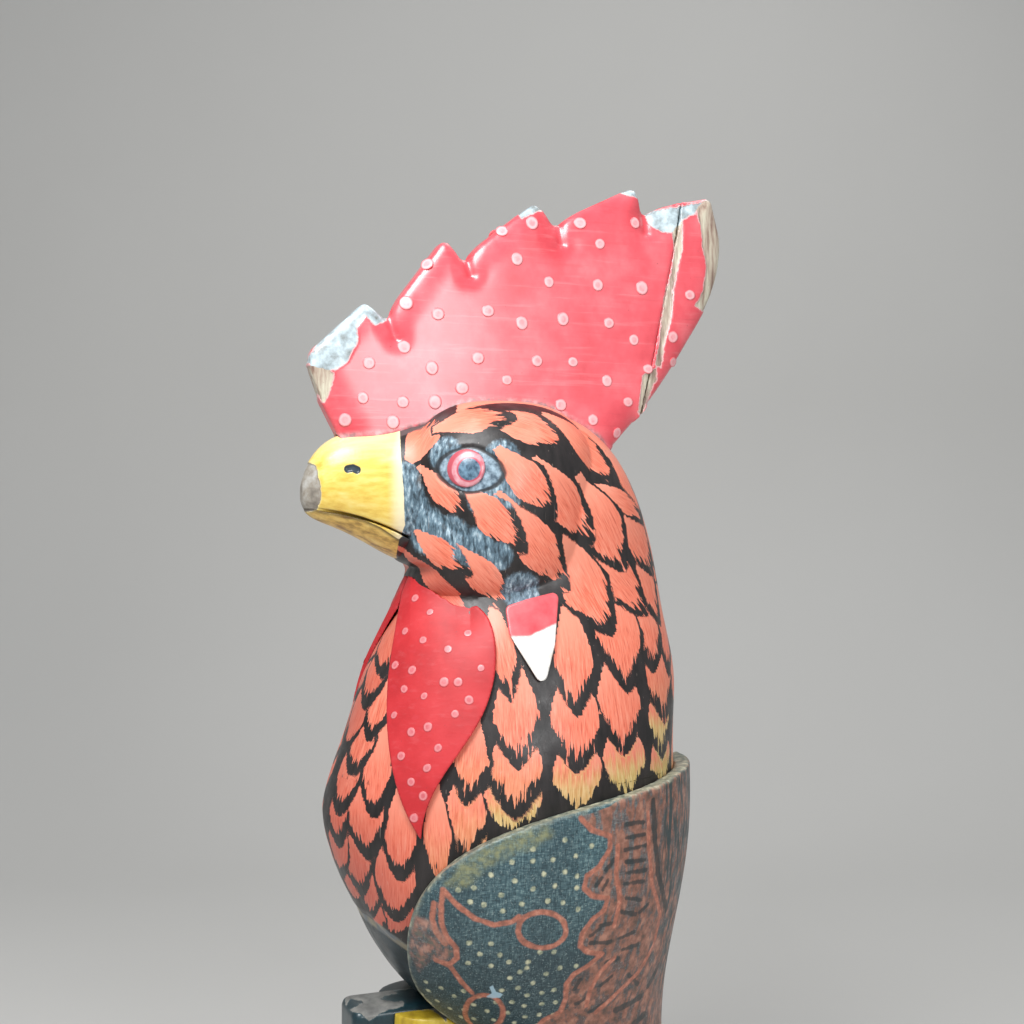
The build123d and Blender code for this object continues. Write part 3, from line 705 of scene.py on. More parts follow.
def allFeathers():
    flip = np.array([-1.0, 1.0, 1.0])
    seen, mirrored, nape = [], [], []
    for kind in ("head", "hackle", "breast"):
        for rootPixel, tipPixel, half, fade, deep in plumage[kind]:
            root, rootNormal = onSkin(birdSkin, rootPixel)
            tip, tipNormal = onSkin(birdSkin, tipPixel)
            normal = rootNormal + tipNormal
            normal /= np.linalg.norm(normal)
            depth = photo["distance"] - root @ towardsLens
            width = half * depth / photo["focal"] / millimetre
            upright = abs(sideways @ (tip - root)) < abs(upwards @ (tip - root))
            facing = max(abs(normal @ towardsLens), plumage["leastFacing"])
            width /= facing if upright else 1.0
            order = -rootPixel[1] - plumage["flow"] * rootPixel[0]
            seen.append(featherFrom(kind, root, tip, normal, width, fade, deep, order))
            wander = rng.normal(0, plumage["wander"] * millimetre, (2, 3))
            ends = root * flip + wander[0], tip * flip + wander[1]
            width *= rng.uniform(*plumage["wanderWidth"])
            mirrored.append(featherFrom(kind, *ends, normal * flip, width, fade, deep, order))
    for row, level in enumerate(plumage["napeLevels"]):
        for column in (-1, 0, 1):
            turn = math.radians(180 + plumage["napeStep"] * (column + 0.5 * (row % 2) - 0.25))
            out = Vector((math.sin(turn), -math.cos(turn), 0))
            ends = []
            for height in (level, level - plumage["napeLength"]):
                start = out * plumage["castFrom"] + Vector((0, 0, height))
                place, normal, _, _ = birdSkin.ray_cast(start, -out)
                ends.append((np.array(place), np.array(normal)))
            (root, normal), (tip, _) = ends
            fade = plumage["napeFade"][1] if level < plumage["napeFade"][0] else 0.0
            half = plumage["napeHalf"]
            nape.append(featherFrom("hackle", root, tip, normal, half, fade, 0, level))
    ordered = []
    for group in (nape, mirrored, seen):
        ordered += sorted(group, key=lambda feather: feather["order"])
    return ordered


def bellyReach(pixels):
    under = pixels[:, 1] - levelAt(pixels[:, 0], plumage["bellyLine"])
    return under * plumage["bellySlope"] / pixelsPerMillimetre


def paintPlumage(piece, feathers, lids, combReach):
    points, normals = places(piece), facings(piece)
    # edges at a joint count as facing out
    normals[np.abs(points[:, 2] - joint) < plumage["rimReach"] * millimetre, 2] = 0
    if piece.name == "beakPiece":
        rim = normals[:, 1] > plumage["rearTurn"]
        normals[rim] = np.sign(points[rim, :1]) * (1, 0, 0)
    normals /= np.maximum(np.linalg.norm(normals, axis=1), 1e-6)[:, None]
    count = len(points)
    depth = np.full(count, plumage["bare"])
    rag, share = np.zeros(count), np.zeros(count)
    vane, tint = np.zeros((count, 3)), np.zeros((count, 3))
    vane[:, 0] = points[:, 1] / millimetre
    vane[:, 1] = points[:, 2] / millimetre
    widest = plumage["widest"]
    for number, feather in enumerate(feathers):
        reach = (points - feather["begin"]) / millimetre
        near = np.abs(reach).max(1) < feather["length"] * plumage["reach"]
        near &= normals @ feather["normal"] > plumage["leastTurn"]
        near &= points[:, 0] * feather["side"] > -plumage["crossing"] * millimetre
        picked = np.nonzero(near)[0]
        local = reach[picked]
        a = local @ feather["along"] / feather["length"]
        c = local @ feather["across"]
        kind = feather["kind"]
        half, narrow = feather["half"] * plumage["fullness"][kind], plumage["rootShare"][kind]
        rise = np.sin(np.pi / 2 * np.clip(a / widest, 0, 1)) ** plumage["rise"]
        body = half * (narrow + (1 - narrow) * rise) - np.abs(c)
        tipLevel = widest + (1 - widest) * (1 - (np.abs(c) / half) ** plumage["tipShape"][kind])
        end = (tipLevel - a) * feather["length"] * plumage["tipLean"]
        inside = np.minimum(np.minimum(body, end), a * feather["length"])
        tipness = ramped(a, *plumage["tipRange"])
        border = plumage["sideEdge"] + (plumage["tipEdge"] - plumage["sideEdge"]) * tipness
        mine = inside > -border
        spot = picked[mine]
        into, edge = inside[mine], border[mine]
        fringe = np.maximum(into, -(into + edge))
        depth[spot] = np.where(into > 0, into, np.minimum(depth[spot], fringe))
        tipRag = plumage["tipRag"][kind]
        rag[spot] = plumage["sideRag"] + (tipRag - plumage["sideRag"]) * tipness[mine]
        share[spot] = a[mine]
        apart = np.full(len(spot), number * plumage["grainStep"])
        vane[spot] = np.stack([c[mine], a[mine] * feather["length"], apart], 1)
        tint[spot, 0] = feather["fade"]
        tint[spot, 1] = feather["deep"]
    mirroredPoints = leftward(points)
    pixels = toPhoto(mirroredPoints)
    crown = (combReach < plumage["seamFill"]) & (pixels[:, 0] > plumage["seamStart"])
    depth[crown & (depth < 0) & (share < plumage["tipStart"])] = plumage["seamDepth"]
    # painted shade: the lower breast, towards the front, darkens to deep red
    acrossShade, downShade = plumage["breastShade"]
    shaded = ramped(pixels[:, 1], *downShade) * (1 - ramped(pixels[:, 0], *acrossShade))
    tint[:, 1] = np.maximum(tint[:, 1], plumage["shadeShare"] * shaded)
    for pixel, size in plumage["slate"]:
        middle, _ = onSkin(birdSkin, pixel)
        far = np.linalg.norm(mirroredPoints - middle, axis=1) / millimetre
        edge = 1 - ramped(far / size, *plumage["slateEdge"])
        tint[:, 2] = np.maximum(tint[:, 2], edge)
    below = bellyReach(pixels)
    setField(piece, "plume", depth, rag, share)
    setField(piece, "vane", *vane.T)
    setField(piece, "tint", *tint.T)
    setField(piece, "place", lids, below, combReach)


feathers = allFeathers()
feathered = featherPaint()

# head and neck: lids cut in round each eye, a crease under the cheek, a hollow under the beak
headCut = {
    "voxel": 0.88,
    "overlap": 1.4,                 # the lower edge runs on over the joint, so no groove is left
    "overlapLift": 0.05,
    "overlapFrom": 0.6,
    "overlapReach": 1.2,
    "overlapTurn": 0.9,
    "eyePixel": (469, 469),
    "eyeReach": (11.6, 7.8),        # half length and half height of the lids
    "eyeShape": (1.5, 2),           # low is pointed at the corners
    "eyeTurn": math.radians(-8),
    "eyeDepth": 9.0,
    "lidCut": 0.5,
    "lidHalf": 0.09,
    "socketDepth": 0.3,
    "socketEdge": (0.8, 1.0),
    "throatPixel": (400, 573),      # hollow under the beak
    "throatReach": (50, 9),
    "throatDepth": 4.7,
    "cheekLine": [(404, 478), (420, 500), (434, 514), (448, 526), (462, 534)],
    "cheekDepth": 0.9,
    "cheekHalf": 1.6,
    "creaseAngle": math.radians(32),
}
head = carvedFrom("head_and_neck", "head", headCut["voxel"], hug=True)
points = places(head)
trunkTop = nodeSkin("trunk")
for i in np.nonzero(points[:, 2] < joint + headCut["overlapFrom"] * millimetre)[0]:
    points[i, 2] -= headCut["overlap"] * millimetre
    outside, normal, _, away = trunkTop.find_nearest(Vector(points[i]))
    if away < headCut["overlapReach"] * millimetre and abs(normal.z) < headCut["overlapTurn"]:
        points[i] = outside + normal * headCut["overlapLift"] * millimetre
putPlaces(head, points)
eyeMiddle, eyeFacing = onSkin(nodeSkin("head_and_neck", "left_eye"), headCut["eyePixel"])
points = leftward(places(head))
backward = np.cross(upwards, eyeFacing)
backward /= np.linalg.norm(backward)
above = np.cross(eyeFacing, backward)
reach = (points - eyeMiddle) / millimetre
cosine, sine = math.cos(headCut["eyeTurn"]), math.sin(headCut["eyeTurn"])
along = reach @ backward * cosine + reach @ above * sine
rise = reach @ above * cosine - reach @ backward * sine
(longways, upways), (corner, lift) = headCut["eyeReach"], headCut["eyeShape"]
almond = np.sqrt((np.abs(along) / longways) ** corner + (np.abs(rise) / upways) ** lift)
almond[np.abs(reach @ eyeFacing) > headCut["eyeDepth"]] = farAway
cut = headCut["lidCut"] * bell(almond - 1.0, headCut["lidHalf"])
cut += headCut["socketDepth"] * (1 - ramped(almond, *headCut["socketEdge"]))
pixels = toPhoto(points)
(throatX, throatY), (reachX, reachY) = headCut["throatPixel"], headCut["throatReach"]
hollow = bell(pixels[:, 1] - throatY, reachY)
hollow *= 1 - ramped(pixels[:, 0], throatX, throatX + reachX)
cut += headCut["throatDepth"] * hollow
cheek = np.array([onSkin(birdSkin, pixel)[0] for pixel in headCut["cheekLine"]])
crease = lineReach(points, cheek) / millimetre
shift(head, -cut - headCut["cheekDepth"] * bell(crease, headCut["cheekHalf"]))
combReach = skinReach(places(head), nodeSkin("comb_front", "comb_rear"))
paintPlumage(head, feathers, almond, combReach)
head.data.set_sharp_from_angle(angle=headCut["creaseAngle"])
dress(head, feathered, "feather_paint", "head_and_neck")
print("head and neck:", len(head.data.polygons), "faces")

# trunk: tucked in at the front, and the belly set back below the last feathers
trunkCut = {
    "voxel": 0.95,
    "bellyDepth": 0.9,
    "bellyEdge": (-0.6, 0.9),
    "bellyFade": (955, 985),
    # height in the photograph, depth
    "tuck": [(815, 0), (855, 2.2), (880, 2.8), (912, 3.2), (930, 2.4), (955, 1.2), (985, 0)],
    "tuckFade": (345, 400),
}
trunk = carvedFrom("trunk", "trunkBlock", trunkCut["voxel"], hug=True)
pixels = toPhoto(leftward(places(trunk)))
tuck = levelAt(pixels[:, 1], trunkCut["tuck"]) * (1 - ramped(pixels[:, 0], *trunkCut["tuckFade"]))
belly = ramped(bellyReach(pixels), *trunkCut["bellyEdge"])
belly *= 1 - ramped(pixels[:, 1], *trunkCut["bellyFade"])
shift(trunk, -tuck - trunkCut["bellyDepth"] * belly)
noReach = np.full(len(pixels), farAway)
paintPlumage(trunk, feathers, noReach, noReach)
trunk.data.set_sharp_from_angle(angle=headCut["creaseAngle"])
dress(trunk, feathered, "feather_paint", "trunk")
print("trunk:", len(trunk.data.polygons), "faces")

# comb: two boards, rounded towards the teeth and chipped back to the ground and the wood
comb = {
    "voxel": 0.65,
    "rounds": 5,
    "noseThin": 0.35,           # share of the thickness left off at the nose
    "noseReach": 1.8,
    "edgeShare": 0.45,          # share of the thickness left at the outer edge
    "edgeReach": 12.0,
    "edgeTurn": 0.35,
    "edgeClear": 3.0,
    "thinFrom": (-0.05, 0.5),   # shares of the length
    "reachFrom": (0.0, 0.25),
    "chipDepth": 0.35,
    "seamReach": 2.2,
    "notches": [
        [(386, 309), (397, 338)], [(465, 252), (472, 274)],
        [(559, 221), (563, 243)], [(646, 213), (648, 232)],
    ],
    "notchDepth": 2.2,
    "notchHalf": (4.0, 12.0),
    "groundChips": [
        [
            (306, 362), (319, 340), (350, 312), (365, 298), (382, 306), (386, 320), (376, 325),
            (366, 315), (357, 327), (357, 342), (347, 362), (335, 370), (318, 368),
        ],
        [(518, 214), (530, 205), (542, 201), (549, 208), (535, 212), (522, 218)],
        [(620, 191), (632, 185), (643, 186), (645, 204), (638, 198), (625, 194)],
        [
            (645, 213), (690, 205), (703, 202), (694, 214), (682, 219), (677, 232), (662, 232),
            (648, 223),
        ],
    ],
    "woodChips": [
        [(305, 366), (318, 367), (334, 372), (330, 390), (324, 403), (312, 390)],
        [
            (696, 206), (716, 195), (726, 222), (726, 262), (720, 292), (707, 314), (696, 306),
            (704, 291), (707, 266), (703, 246), (701, 226),
        ],
        [
            (672, 226), (682, 222), (682, 245), (679, 262), (673, 290), (671, 318), (664, 345),
            (661, 368), (656, 364), (660, 342), (662, 318), (665, 296), (672, 270), (675, 250),
        ],
        [
            (643, 376), (650, 372), (657, 368), (656, 380), (648, 398), (642, 416), (639, 412),
            (641, 392),
        ],
    ],
    "spots": [
        (427, 264), (406, 303), (438, 314), (404, 347), (369, 363), (363, 398), (345, 420),
        (403, 402), (432, 368), (478, 358), (462, 388), (507, 380), (537, 361), (573, 362),
        (607, 381), (522, 323), (488, 311), (517, 259), (502, 231), (532, 223), (580, 223),
        (600, 244), (635, 223), (598, 285), (549, 282), (563, 319), (609, 323), (642, 288),
        (634, 340), (690, 295), (673, 337), (648, 369), (673, 362), (628, 402), (593, 420),
        (561, 405), (617, 433), (393, 422), (435, 402),
    ],
    "spotSize": 2.4,
    "spotThickness": 0.07,
}
chipEdge = (-0.3, 0.3)
woodEdge = (-0.6, 0.6)
seamCore = 0.4


def wearFrom(piece, groundChips=(), woodChips=(), seamSkin=None, seamReach=2.5):
    points = leftward(places(piece))
    pixels = toPhoto(points)
    ground = np.full(len(points), -farAway)
    wood = np.full(len(points), -farAway)
    for outline in groundChips:
        ground = np.maximum(ground, outlineDepth(pixels, outline) / pixelsPerMillimetre)
    for outline in woodChips:
        wood = np.maximum(wood, outlineDepth(pixels, outline) / pixelsPerMillimetre)
    seam = np.zeros(len(points))
    if seamSkin:
        seam = 1 - ramped(skinReach(places(piece), seamSkin), seamCore, seamReach)
    chip = np.maximum(ground, wood)
    setField(piece, "wear", chip, ramped(wood - ground, *woodEdge), seam)
    return chip


def roundedBoard(piece, otherSkin):
    # full thickness in the middle, thinner towards the teeth and at the nose
    points, normals = places(piece), facings(piece)
    low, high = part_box("comb_front")
    outer = np.abs(normals[:, 0]) < comb["edgeTurn"]
    outer &= skinReach(points, otherSkin) > comb["edgeClear"]
    flat = points * (0, 1, 1)
    inward = np.clip(pointReach(flat, flat[outer]) / comb["edgeReach"], 0, 1)
    share = comb["edgeShare"] + (1 - comb["edgeShare"]) * np.sqrt(1 - (1 - inward) ** 2)
    along = (points[:, 1] - low[1]) / (high[1] - low[1])
    points[:, 0] *= share * (1 - comb["noseThin"] * (1 - ramped(along, *comb["thinFrom"])))
    points[:, 1] -= comb["noseReach"] * millimetre * (1 - ramped(along, *comb["reachFrom"]))
    putPlaces(piece, points)


combPaint = redPaint("combPaint", (220, 64, 76), (238, 86, 98), (248, 116, 124), 1.0, 0.18)
faceSkin = nodeSkin("head_and_neck", "beak")
for node, pieceName, other in (
    ("comb_front", "combFront", "comb_rear"),
    ("comb_rear", "combRear", "comb_front"),
):
    board = carvedFrom(node, pieceName, comb["voxel"], comb["rounds"])
    roundedBoard(board, nodeSkin("head_and_neck", "beak", other, "comb_dowels"))
    pixels = toPhoto(leftward(places(board)))
    groove = np.full(len(pixels), unreached)
    for line in comb["notches"]:
        groove = np.minimum(groove, lineReach(pixels, line))
    narrow, wide = (bell(groove, half) for half in comb["notchHalf"])
    shift(board, -comb["notchDepth"] * (narrow + wide) / 2)
    chip = wearFrom(board, comb["groundChips"], comb["woodChips"], faceSkin, comb["seamReach"])
    shift(board, -comb["chipDepth"] * ramped(chip, *chipEdge))
    dress(board, combPaint, "red_paint", node)
print("comb boards")


# raised dots of paint, set on the surface by a node tree
spots = {
    "segments": 14,
    "rings": 7,
    "wander": 1.2,              # how far the far side's dots stray
    "spread": (0.85, 1.12),
    "squash": (0.85, 1.1),
}


def spotTree():
    tree = bpy.data.node_groups.new("paintSpots", "GeometryNodeTree")
    link = tree.links.new

    def socket(name, way, kind):
        return tree.interface.new_socket(name, in_out=way, socket_type="NodeSocket" + kind)

    def node(kind, inputs=None, **settings):
        made = tree.nodes.new(kind)
        for name, value in settings.items():
            setattr(made, name, value)
        for name, value in (inputs or {}).items():
            made.inputs[name].default_value = value
        return made

    def named(name):
        kind = "GeometryNodeInputNamedAttribute"
        return node(kind, {"Name": name}, data_type="FLOAT_VECTOR").outputs["Attribute"]

    socket("Spots", "INPUT", "Geometry")
    thickness, finish = socket("Thickness", "INPUT", "Float"), socket("Paint", "INPUT", "Material")
    socket("Geometry", "OUTPUT", "Geometry")
    start, end = node("NodeGroupInput"), node("NodeGroupOutput")
    counts = {"Segments": spots["segments"], "Rings": spots["rings"], "Radius": 1.0}
    drop = node("GeometryNodeMeshUVSphere", counts)
    where = node("GeometryNodeInputPosition")
    keep = node("GeometryNodeStoreNamedAttribute", {"Name": "drop"}, data_type="FLOAT_VECTOR")
    link(drop.outputs["Mesh"], keep.inputs["Geometry"])
    link(where.outputs[0], keep.inputs["Value"])
    shape = node("ShaderNodeCombineXYZ", {"X": 1.0, "Y": 1.0})
    flat = node("ShaderNodeVectorMath", operation="MULTIPLY")
    link(start.outputs["Thickness"], shape.inputs["Z"])
    link(named("size"), flat.inputs[0])
    link(shape.outputs[0], flat.inputs[1])
    turn = node("FunctionNodeAlignRotationToVector", axis="Z")
    link(named("facing"), turn.inputs["Vector"])
    place = node("GeometryNodeInstanceOnPoints")
    link(start.outputs["Spots"], place.inputs["Points"])
    link(keep.outputs["Geometry"], place.inputs["Instance"])
    link(turn.outputs[0], place.inputs["Rotation"])
    link(flat.outputs[0], place.inputs["Scale"])
    real, paint = node("GeometryNodeRealizeInstances"), node("GeometryNodeSetMaterial")
    link(place.outputs["Instances"], real.inputs[0])
    link(real.outputs[0], paint.inputs["Geometry"])
    link(start.outputs["Paint"], paint.inputs["Material"])
    link(paint.outputs[0], end.inputs[0])
    return tree, thickness.identifier, finish.identifier


spotNodes, spotThickness, spotFinish = spotTree()


def paintSpots(pieceName, skin, pixels, size, thickness, coat):
    middles, facing, sizes = [], [], []
    for pixel in pixels:
        place, normal = onSkin(skin, pixel)
        for side in (1, -1):
            if side < 0:
                stray = rng.normal(0, spots["wander"] * millimetre, 3)
                found, out, _, _ = skin.find_nearest(Vector(place * (-1, 1, 1) + stray))
                place, normal = np.array(found), np.array(out)
            spread = size * millimetre * rng.uniform(*spots["spread"])
            middles.append(tuple(place))
            facing.append(normal)
            sizes.append((spread * rng.uniform(*spots["squash"]), spread, spread))
    mesh = bpy.data.meshes.new(pieceName)
    mesh.from_pydata(middles, [], [])
    piece = added(pieceName, mesh)
    setField(piece, "facing", *np.array(facing).T)
    setField(piece, "size", *np.array(sizes).T)
    modifier = piece.modifiers.new("paintSpots", "NODES")
    modifier.node_group = spotNodes
    modifier[spotThickness] = thickness
    modifier[spotFinish] = coat
    plain(piece)
    dress(piece, coat, "red_paint")


combSkin = skinOf(bpy.data.objects["combFront"], bpy.data.objects["combRear"])
# the comb's dots are paler than the wattle's: pink paint with part of the comb's sheen painted in
combDots = spotPaint("combDots", (240, 150, 156), (248, 178, 182), (250, 188, 192), (236, 102, 110))
thickness = comb["spotThickness"]
paintSpots("combSpots", combSkin, comb["spots"], comb["spotSize"], thickness, combDots)

# wattles: thin slips of red with smaller dots
wattle = {
    "voxel": 0.45,
    "rounds": 4,
    "spots": [
        (415, 598), (430, 612), (405, 631), (423, 640), (448, 649), (468, 633), (412, 670),
        (444, 682), (458, 682), (481, 668), (404, 689), (424, 696), (469, 700), (394, 715),
        (455, 714), (428, 727), (411, 732), (401, 756), (438, 748), (427, 768), (411, 782),
        (423, 796), (414, 818), (395, 665),
    ],
    "spotSize": 1.65,
    # slope of the top under the throat: across, drop
    "topEdge": [(400, -10), (410, -12), (440, 4), (455, 12), (470, 14), (482, 8), (495, 0)],
    "topReach": (588, 655),
}
wattlePaint = redPaint("wattlePaint", (178, 32, 38), (200, 42, 48), (214, 56, 62), 0.0, 0.05)
slips = []
for side in ("left", "right"):
    slip = carvedFrom(side + "_wattle", side + "Wattle", wattle["voxel"], wattle["rounds"])
    points = places(slip)
    pixels = toPhoto(leftward(points))
    drop = levelAt(pixels[:, 0], wattle["topEdge"])
    drop *= 1 - ramped(pixels[:, 1], *wattle["topReach"])
    points[:, 2] -= drop / pixelsPerMillimetre * millimetre
    putPlaces(slip, points)
    wearFrom(slip)
    dress(slip, wattlePaint, "red_paint", side + "_wattle")
    slips.append(slip)
wattleDots = spotPaint(
    "wattleDots", (208, 100, 106), (218, 124, 130), (222, 136, 140), (204, 60, 66)
)
wattleSkin = skinOf(*slips)
paintSpots("wattleSpots", wattleSkin, wattle["spots"], wattle["spotSize"], thickness, wattleDots)

# ear lobes: red above, white below
lobe = {
    "voxel": 0.4,
    "rounds": 4,
    "seamReach": 1.0,
    "whiteLine": [(505, 637), (530, 636), (558, 623)],
}
lobeCoat = lobePaint()
for side in ("left", "right"):
    slip = carvedFrom(side + "_earlobe", side + "Earlobe", lobe["voxel"], lobe["rounds"])
    wearFrom(slip, seamSkin=birdSkin, seamReach=lobe["seamReach"])
    pixels = toPhoto(leftward(places(slip)))
    below = pixels[:, 1] - levelAt(pixels[:, 0], lobe["whiteLine"])
    setField(slip, "white", below / pixelsPerMillimetre)
    dress(slip, lobeCoat, "lobe_paint", side + "_earlobe")
print("wattles and ear lobes")

# beak: nostrils cut in, tip worn bare
beakCut = {
    "voxel": 0.32,
    "rounds": 3,
    "overlap": 0.8,
    "tipChip": [
        (306, 462), (316, 466), (318, 478), (321, 488), (321, 500), (317, 510), (306, 512),
        (294, 503), (292, 486), (297, 468),
    ],
    "nostril": [(348, 469), (353, 468), (357, 470)],
    "nostrilDepth": 0.6,
    "nostrilEdge": (0.6, 1.6),
    "chipDepth": 0.3,
    "mouth": [(312, 509), (340, 514), (362, 519), (380, 527), (398, 539)],
    "topHighlight": (436, 462),
    "highlightShares": (0.4, 0.7),  # at the top and at the rear
    "rearHighlight": (386, 402),
    "rearTurn": 0.3,
    "closeRounds": 36,          # smoothing that closes the mouth's end behind the yellow
    "closeFrom": -0.3,
    # end of the yellow: height, across
    "rearEdge": [(436, 400), (470, 402), (500, 404), (525, 405), (540, 399), (556, 396)],
}
beak = carvedFrom("beak", "beakPiece", beakCut["voxel"], beakCut["rounds"])
points = places(beak)
rear = facings(beak)[:, 1] > beakCut["rearTurn"]
points[rear, 1] += beakCut["overlap"] * millimetre
putPlaces(beak, points)
pixels = toPhoto(leftward(places(beak)))
chip = outlineDepth(pixels, beakCut["tipChip"]) / pixelsPerMillimetre
nostril = lineReach(pixels, beakCut["nostril"]) / pixelsPerMillimetre
below = (pixels[:, 1] - levelAt(pixels[:, 0], beakCut["mouth"])) / pixelsPerMillimetre
pit = beakCut["nostrilDepth"] * (1 - ramped(nostril, *beakCut["nostrilEdge"]))
shift(beak, -pit - beakCut["chipDepth"] * ramped(chip, *chipEdge))
# painted highlight: cream at the top and along the back of the beak, carried as the third wear
# field
topShare, rearShare = beakCut["highlightShares"]
topHighlight = topShare * (1 - ramped(pixels[:, 1], *beakCut["topHighlight"]))
cream = np.maximum(topHighlight, rearShare * ramped(pixels[:, 0], *beakCut["rearHighlight"]))
behind = (pixels[:, 0] - levelAt(pixels[:, 1], beakCut["rearEdge"])) / pixelsPerMillimetre
shape = bmesh.new()
shape.from_mesh(beak.data)
shape.verts.ensure_lookup_table()
closed = [shape.verts[i] for i in np.nonzero((behind > beakCut["closeFrom"]) & ~rear)[0]]
everyWay = {"use_axis_x": True, "use_axis_y": True, "use_axis_z": True}
for _ in range(beakCut["closeRounds"]):
    bmesh.ops.smooth_vert(shape, verts=closed, factor=0.5, **everyWay)
shape.to_mesh(beak.data)
shape.free()
setField(beak, "wear", chip, nostril, cream)
setField(beak, "below", below)
setField(beak, "behind", behind)
combReach = skinReach(places(beak), nodeSkin("comb_front"))
paintPlumage(beak, feathers, np.full(len(pixels), farAway), combReach)
dress(beak, beakPaint(), "beak_paint", "beak")

# eyes: a dome with a slate pupil in a pink ring
eye = {"voxel": 0.3, "rounds": 2, "radius": 6.7, "spread": 0.09}
eyeCoat = eyePaint()
for side in ("left", "right"):
    ball = carvedFrom(side + "_eye", side + "Eye", eye["voxel"], eye["rounds"], hug=True)
    points = leftward(places(ball))
    reach = (points - eyeMiddle) / millimetre
    off = reach - np.outer(reach @ eyeFacing, eyeFacing)
    points += off * eye["spread"] * millimetre          # over the edge of its hole
    points[:, 0] *= 1 if side == "left" else -1
    putPlaces(ball, points)
    setField(ball, "ring", np.linalg.norm(off, axis=1) * (1 + eye["spread"]) / eye["radius"])
    dress(ball, eyeCoat, "eye_paint", side + "_eye")
print("beak and eyes")

# wings: dark dyed panels with a pale rim, dots, tendrils and a rust-coloured leaf towards the back
wing = {
    "voxel": 0.75,
    "rounds": 6,
    "lines": [
        [(443, 890), (458, 906), (476, 919), (494, 925), (512, 922), (519, 917)],
        [
            (443, 890), (441, 906), (441, 922), (446, 936), (456, 948), (457, 958), (450, 964),
            (442, 962),
        ],
        [(434, 903), (432, 918), (436, 932), (445, 944)],
        [(436, 960), (450, 966), (460, 980), (472, 993)],
        [
            (581, 818), (592, 830), (610, 836), (610, 848), (600, 866), (587, 876), (584, 888),
            (592, 896), (608, 898),
        ],
        [
            (608, 898), (604, 910), (592, 920), (582, 934), (580, 946), (588, 952), (602, 954),
            (590, 964), (574, 974),
        ],
        [(574, 974), (566, 984), (566, 998), (560, 1012), (544, 1020), (530, 1032)],
        [
            (648, 812), (649, 850), (652, 884), (660, 914), (654, 944), (640, 970), (618, 992),
            (596, 1012),
        ],
        [(614, 958), (600, 972), (590, 990), (586, 1006)],
        [(618, 846), (616, 872), (620, 900), (614, 926)],
    ],
    "lineHalf": 0.9,
    "loops": [((542, 930), (24, 18)), ((484, 1012), (19, 17))],
    "loopSteps": 24,
    "bars": [
        [(626, 824), (644, 822)], [(626, 838), (645, 834)], [(625, 850), (646, 845)],
        [(626, 862), (645, 860)], [(626, 873), (646, 870)], [(625, 884), (644, 881)],
        [(626, 898), (642, 900)], [(596, 886), (602, 878)], [(603, 890), (608, 880)],
        [(606, 870), (614, 860)], [(590, 936), (600, 929)], [(590, 943), (610, 942)],
        [(600, 926), (616, 922)], [(622, 912), (636, 914)], [(640, 912), (648, 904)],
        [(574, 990), (580, 980)], [(628, 974), (638, 984)], [(576, 1004), (586, 998)],
        [(600, 986), (612, 976)], [(590, 1012), (604, 1003)], [(620, 938), (634, 932)],
        [(622, 950), (638, 944)], [(606, 962), (618, 958)],
    ],
    "barHalf": 0.75,
    "gaps": [
        [(658, 966), (648, 986)], [(616, 1010), (640, 997)], [(632, 1026), (644, 1014)],
        [(653, 802), (655, 840), (658, 874), (666, 910)],
    ],
    "gapHalf": 1.3,
    "dots": [
        (533, 849), (533, 861), (553, 860), (565, 872), (544, 874), (555, 886), (533, 889),
        (515, 881), (491, 875), (474, 888), (458, 890), (501, 895), (522, 904), (548, 901),
        (563, 903), (503, 911), (484, 905), (578, 909), (577, 876), (576, 856), (565, 840),
        (592, 846), (491, 944), (469, 943), (480, 954), (500, 955), (491, 966), (509, 962),
        (528, 962), (468, 963), (540, 952), (554, 952), (546, 974), (520, 972), (510, 978),
        (533, 983), (518, 988), (542, 993), (554, 990), (512, 1002), (542, 1004), (524, 1006),
        (441, 988), (454, 996), (426, 982), (576, 966), (577, 888), (560, 968), (527, 968),
        (470, 902), (512, 862), (562, 920),
    ],
    "dotHalf": 0.9,
    "smudge": [
        (486, 997), (492, 993), (489, 987), (493, 985), (496, 992), (503, 994), (500, 998),
        (492, 998),
    ],
    "moreDots": 260,            # more between, and below the photograph's edge
    "dotsFrom": 990,
    "dotGap": 4.6,
    "rustField": [
        (581, 816), (592, 830), (610, 836), (610, 848), (600, 866), (587, 876), (584, 888),
        (592, 896), (608, 898), (604, 910), (592, 920), (582, 934), (580, 946), (588, 952),
        (602, 954), (590, 964), (574, 974), (566, 984), (566, 998), (560, 1012), (544, 1020),
        (520, 1100), (780, 1100), (780, 700), (660, 770), (610, 806),
    ],
    "rustEdge": (-2, 3),
    "hatchFrom": (652, 668),
    "rimStand": (1.5, 4.2),     # how far the rim's edge stands off the trunk
    "dowelClear": 3.0,
    "dotStand": 4.5,
    "dotRust": 0.2,
    "pinkEdge": (-4, 3),
    "dustEdge": (-6, 4),
    "pinkWear": [
        (416, 916), (434, 924), (446, 940), (453, 952), (446, 960), (430, 958), (420, 970),
        (410, 952), (412, 930),
    ],
    "yellowDust": [
        (446, 884), (462, 864), (488, 846), (516, 834), (546, 826), (552, 834), (536, 846),
        (512, 854), (488, 866), (466, 886),
    ],
}
wingCoat = wingDye()
wingSkin = nodeSkin("left_wing")
trunkSkin = nodeSkin("trunk", "head_and_neck")
dowelSkin = nodeSkin("wing_dowels")


def castLine(pixels):
    return [onSkin(wingSkin, pixel)[0] for pixel in pixels]


def wingLines():
    lines = [castLine(line) for line in wing["lines"]]
    turns = np.linspace(0, 2 * math.pi, wing["loopSteps"] + 1)
    for (x, y), (wide, high) in wing["loops"]:
        lines.append(castLine([(x + wide * math.cos(t), y + high * math.sin(t)) for t in turns]))
    return lines


